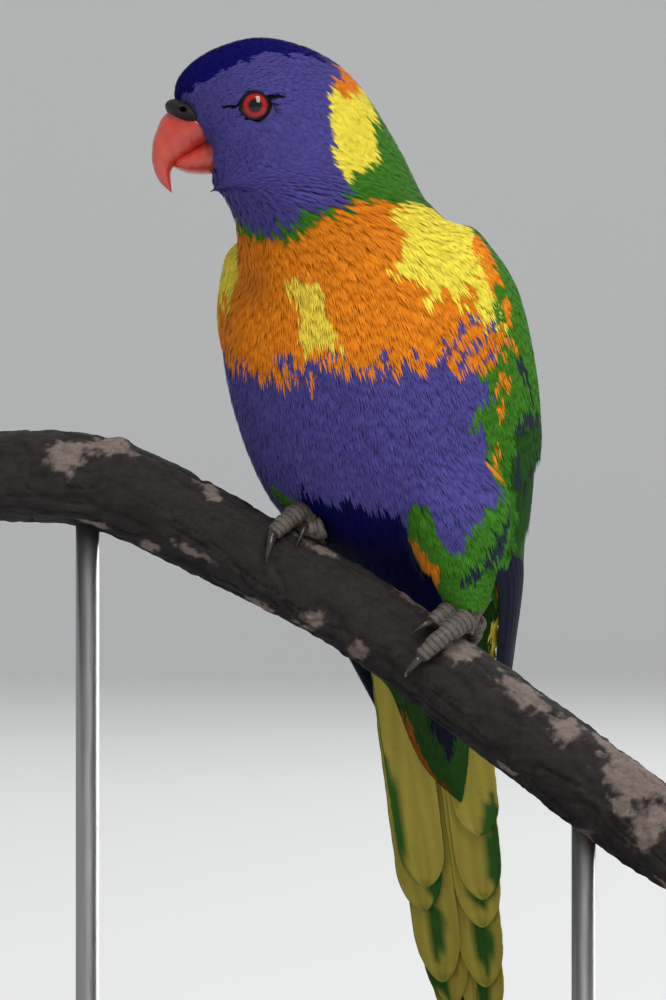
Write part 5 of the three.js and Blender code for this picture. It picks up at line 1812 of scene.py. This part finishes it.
def rods_piece():
    """Two thin steel rods with low collars on the board: each turned from one line of heights and radii."""
    shells = []
    for x in ROD_X:
        centre = perch_at(perch_share(x))[0]
        line = [(BASE_THICK + up, out) for up, out in COLLAR] + [(centre[2] - ROD_SUNK, ROD_RADIUS)]
        high, radius = np.array(line)[:, :1], np.array(line)[:, 1:]
        turn = circle(48)
        ring = floats(centre[0] + radius * np.cos(turn), centre[1] + radius * np.sin(turn), high)
        shells.append(closed_shell(np.stack(ring, -1)))
    finish = Finish("brushed_steel", Metallic=1.0, Base_Color=(0.6, 0.6, 0.61))
    brush = finish.noise(finish.place(scale=(900, 900, 60)), 1.0, 3.0)
    return new_piece("stand_rods", *joined(shells), finish.set(Roughness=brush * 0.15 + 0.3))


def claw_finish():
    """Dark horn, blotched between brown and nearly black by fine noise, semi-gloss."""
    finish = Finish("claw_horn", Coat_Weight=0.15, Coat_Roughness=0.3)
    streaks = finish.noise(finish.place(scale=(900, 900, 900)), 1.0, 3.0)
    colour = finish.mix(streaks, linear(58, 42, 38), linear(16, 13, 14))
    return finish.set(Base_Color=colour, Roughness=streaks * 0.15 + 0.26)


# The stage in millimetres: half width, depth behind, the bend's radius, height; and the lamps: name, way
# to the lamp, distance and size in metres, watts
STAGE_REACH, STAGE_BACK, STAGE_BEND, STAGE_HIGH = 12000.0, 3500.0, 1800.0, 6000.0
LAMPS = (("key", (0.26, -0.66, 0.72), 3.0, 1.1, 2.1, 80), ("back", (0.45, 0.75, 0.6), 2.6, 1.0, 1.0, 20))
LAMP_AIM = (0.0, 0.0, 0.19)


def stage_and_light():
    """A pale floor that curves up into a backdrop, a pale even world and two soft lamps.

    The floor's line goes back level, round a quarter circle and straight up.
    """
    turn = np.linspace(0, np.pi / 2, 24)
    bend = np.stack([STAGE_BACK + STAGE_BEND * np.sin(turn), STAGE_BEND * (1 - np.cos(turn))], -1)
    line = np.concatenate([[[-STAGE_REACH, 0]], bend, [[STAGE_BACK + STAGE_BEND, STAGE_HIGH]]])
    points = np.concatenate([np.insert(line, 0, x, axis=1) for x in (STAGE_REACH, -STAGE_REACH)])
    k = np.arange(len(line) - 1)
    faces = np.stack([k, k + 1, k + 1 + len(line), k + len(line)], -1)
    finish = Finish("pale_floor", Roughness=0.9, Base_Color=(0.74, 0.74, 0.735))
    new_piece("floor", points, faces, finish.material)
    scene = bpy.context.scene
    scene.world = bpy.data.worlds.new("studio")
    scene.world.use_nodes = True
    sky = scene.world.node_tree.nodes["Background"].inputs
    sky["Color"].default_value, sky["Strength"].default_value = (0.96, 0.98, 1.0, 1.0), 0.5
    for name, way, far, wide, high, power in LAMPS:
        lamp = bpy.data.lights.new(name, "AREA")
        lamp.shape, lamp.size, lamp.size_y, lamp.energy = "RECTANGLE", wide, high, power
        held = bpy.data.objects.new(name, lamp)
        way = unit(np.array(way))
        held.location = LAMP_AIM + way * far
        held.rotation_mode = "QUATERNION"
        held.rotation_quaternion = Vector(tuple(way)).to_track_quat("Z", "Y")
        held.visible_camera = False
        scene.collection.objects.link(held)
    scene.view_settings.view_transform = "Standard"


def camera():
    """A level camera 1.2 m in front of the bird's middle, with the picture's framing."""
    eye = bpy.data.cameras.new("camera")
    eye.lens, eye.sensor_width, eye.clip_start, eye.clip_end = 172.8, 36, 0.01, 50
    held = bpy.data.objects.new("camera", eye)
    held.location, held.rotation_euler = (0, -1.2, 0.17125), (math.pi / 2, 0, 0)
    bpy.context.scene.collection.objects.link(held)
    bpy.context.scene.camera = held


def keep(piece, slot, *nodes):
    """The piece rides on the one body and stands for CAD nodes, which it hides; slot is not used."""
    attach(piece, "root")
    if nodes:
        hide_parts(*nodes)


camera()
stage_and_light()
keep(skin_piece(), "body_plumage", "head", "neck", "trunk", "thigh_left", "thigh_right")
for coat, coat_slot in body_coat():
    keep(coat, coat_slot)
claw_horn, horn_red = claw_finish(), bill_finish()
for who in SIDES:
    keep(thigh_coat(who), "thigh_plumage")
    arm_coat, flight = wing_pieces(who)
    keep(arm_coat, "wing_plumage", f"wing_{who}")
    keep(flight, "quills", f"wing_quills_{who}")
    keep(eye_piece(who), "eye", f"eye_{who}")
    toes = [f"toe_{who}_{toe}" for toe in TOES[who]]
    keep(foot_piece(who), "foot_skin", f"tarsus_{who}", *toes)
    keep(claws_piece(who, claw_horn), "claw", *[toe.replace("toe", "claw") for toe in toes])
keep(tail_piece(), "tail_plumage", "tail")
keep(new_piece("upper_bill", *horn(UPPER_BILL, 90, 72, 1.0, 0.12), horn_red), "bill", "bill_upper")
keep(new_piece("lower_bill", *horn(LOWER_BILL, 60, 60, 0.6, 0.0), horn_red), "bill", "bill_lower")
keep(cere_piece(), "cere", "cere")
keep(perch_piece(), "bark", "perch")
keep(board_piece(), "stand_board", "stand_base")
keep(rods_piece(), "stand_steel", "stand_rod_1", "stand_rod_2")
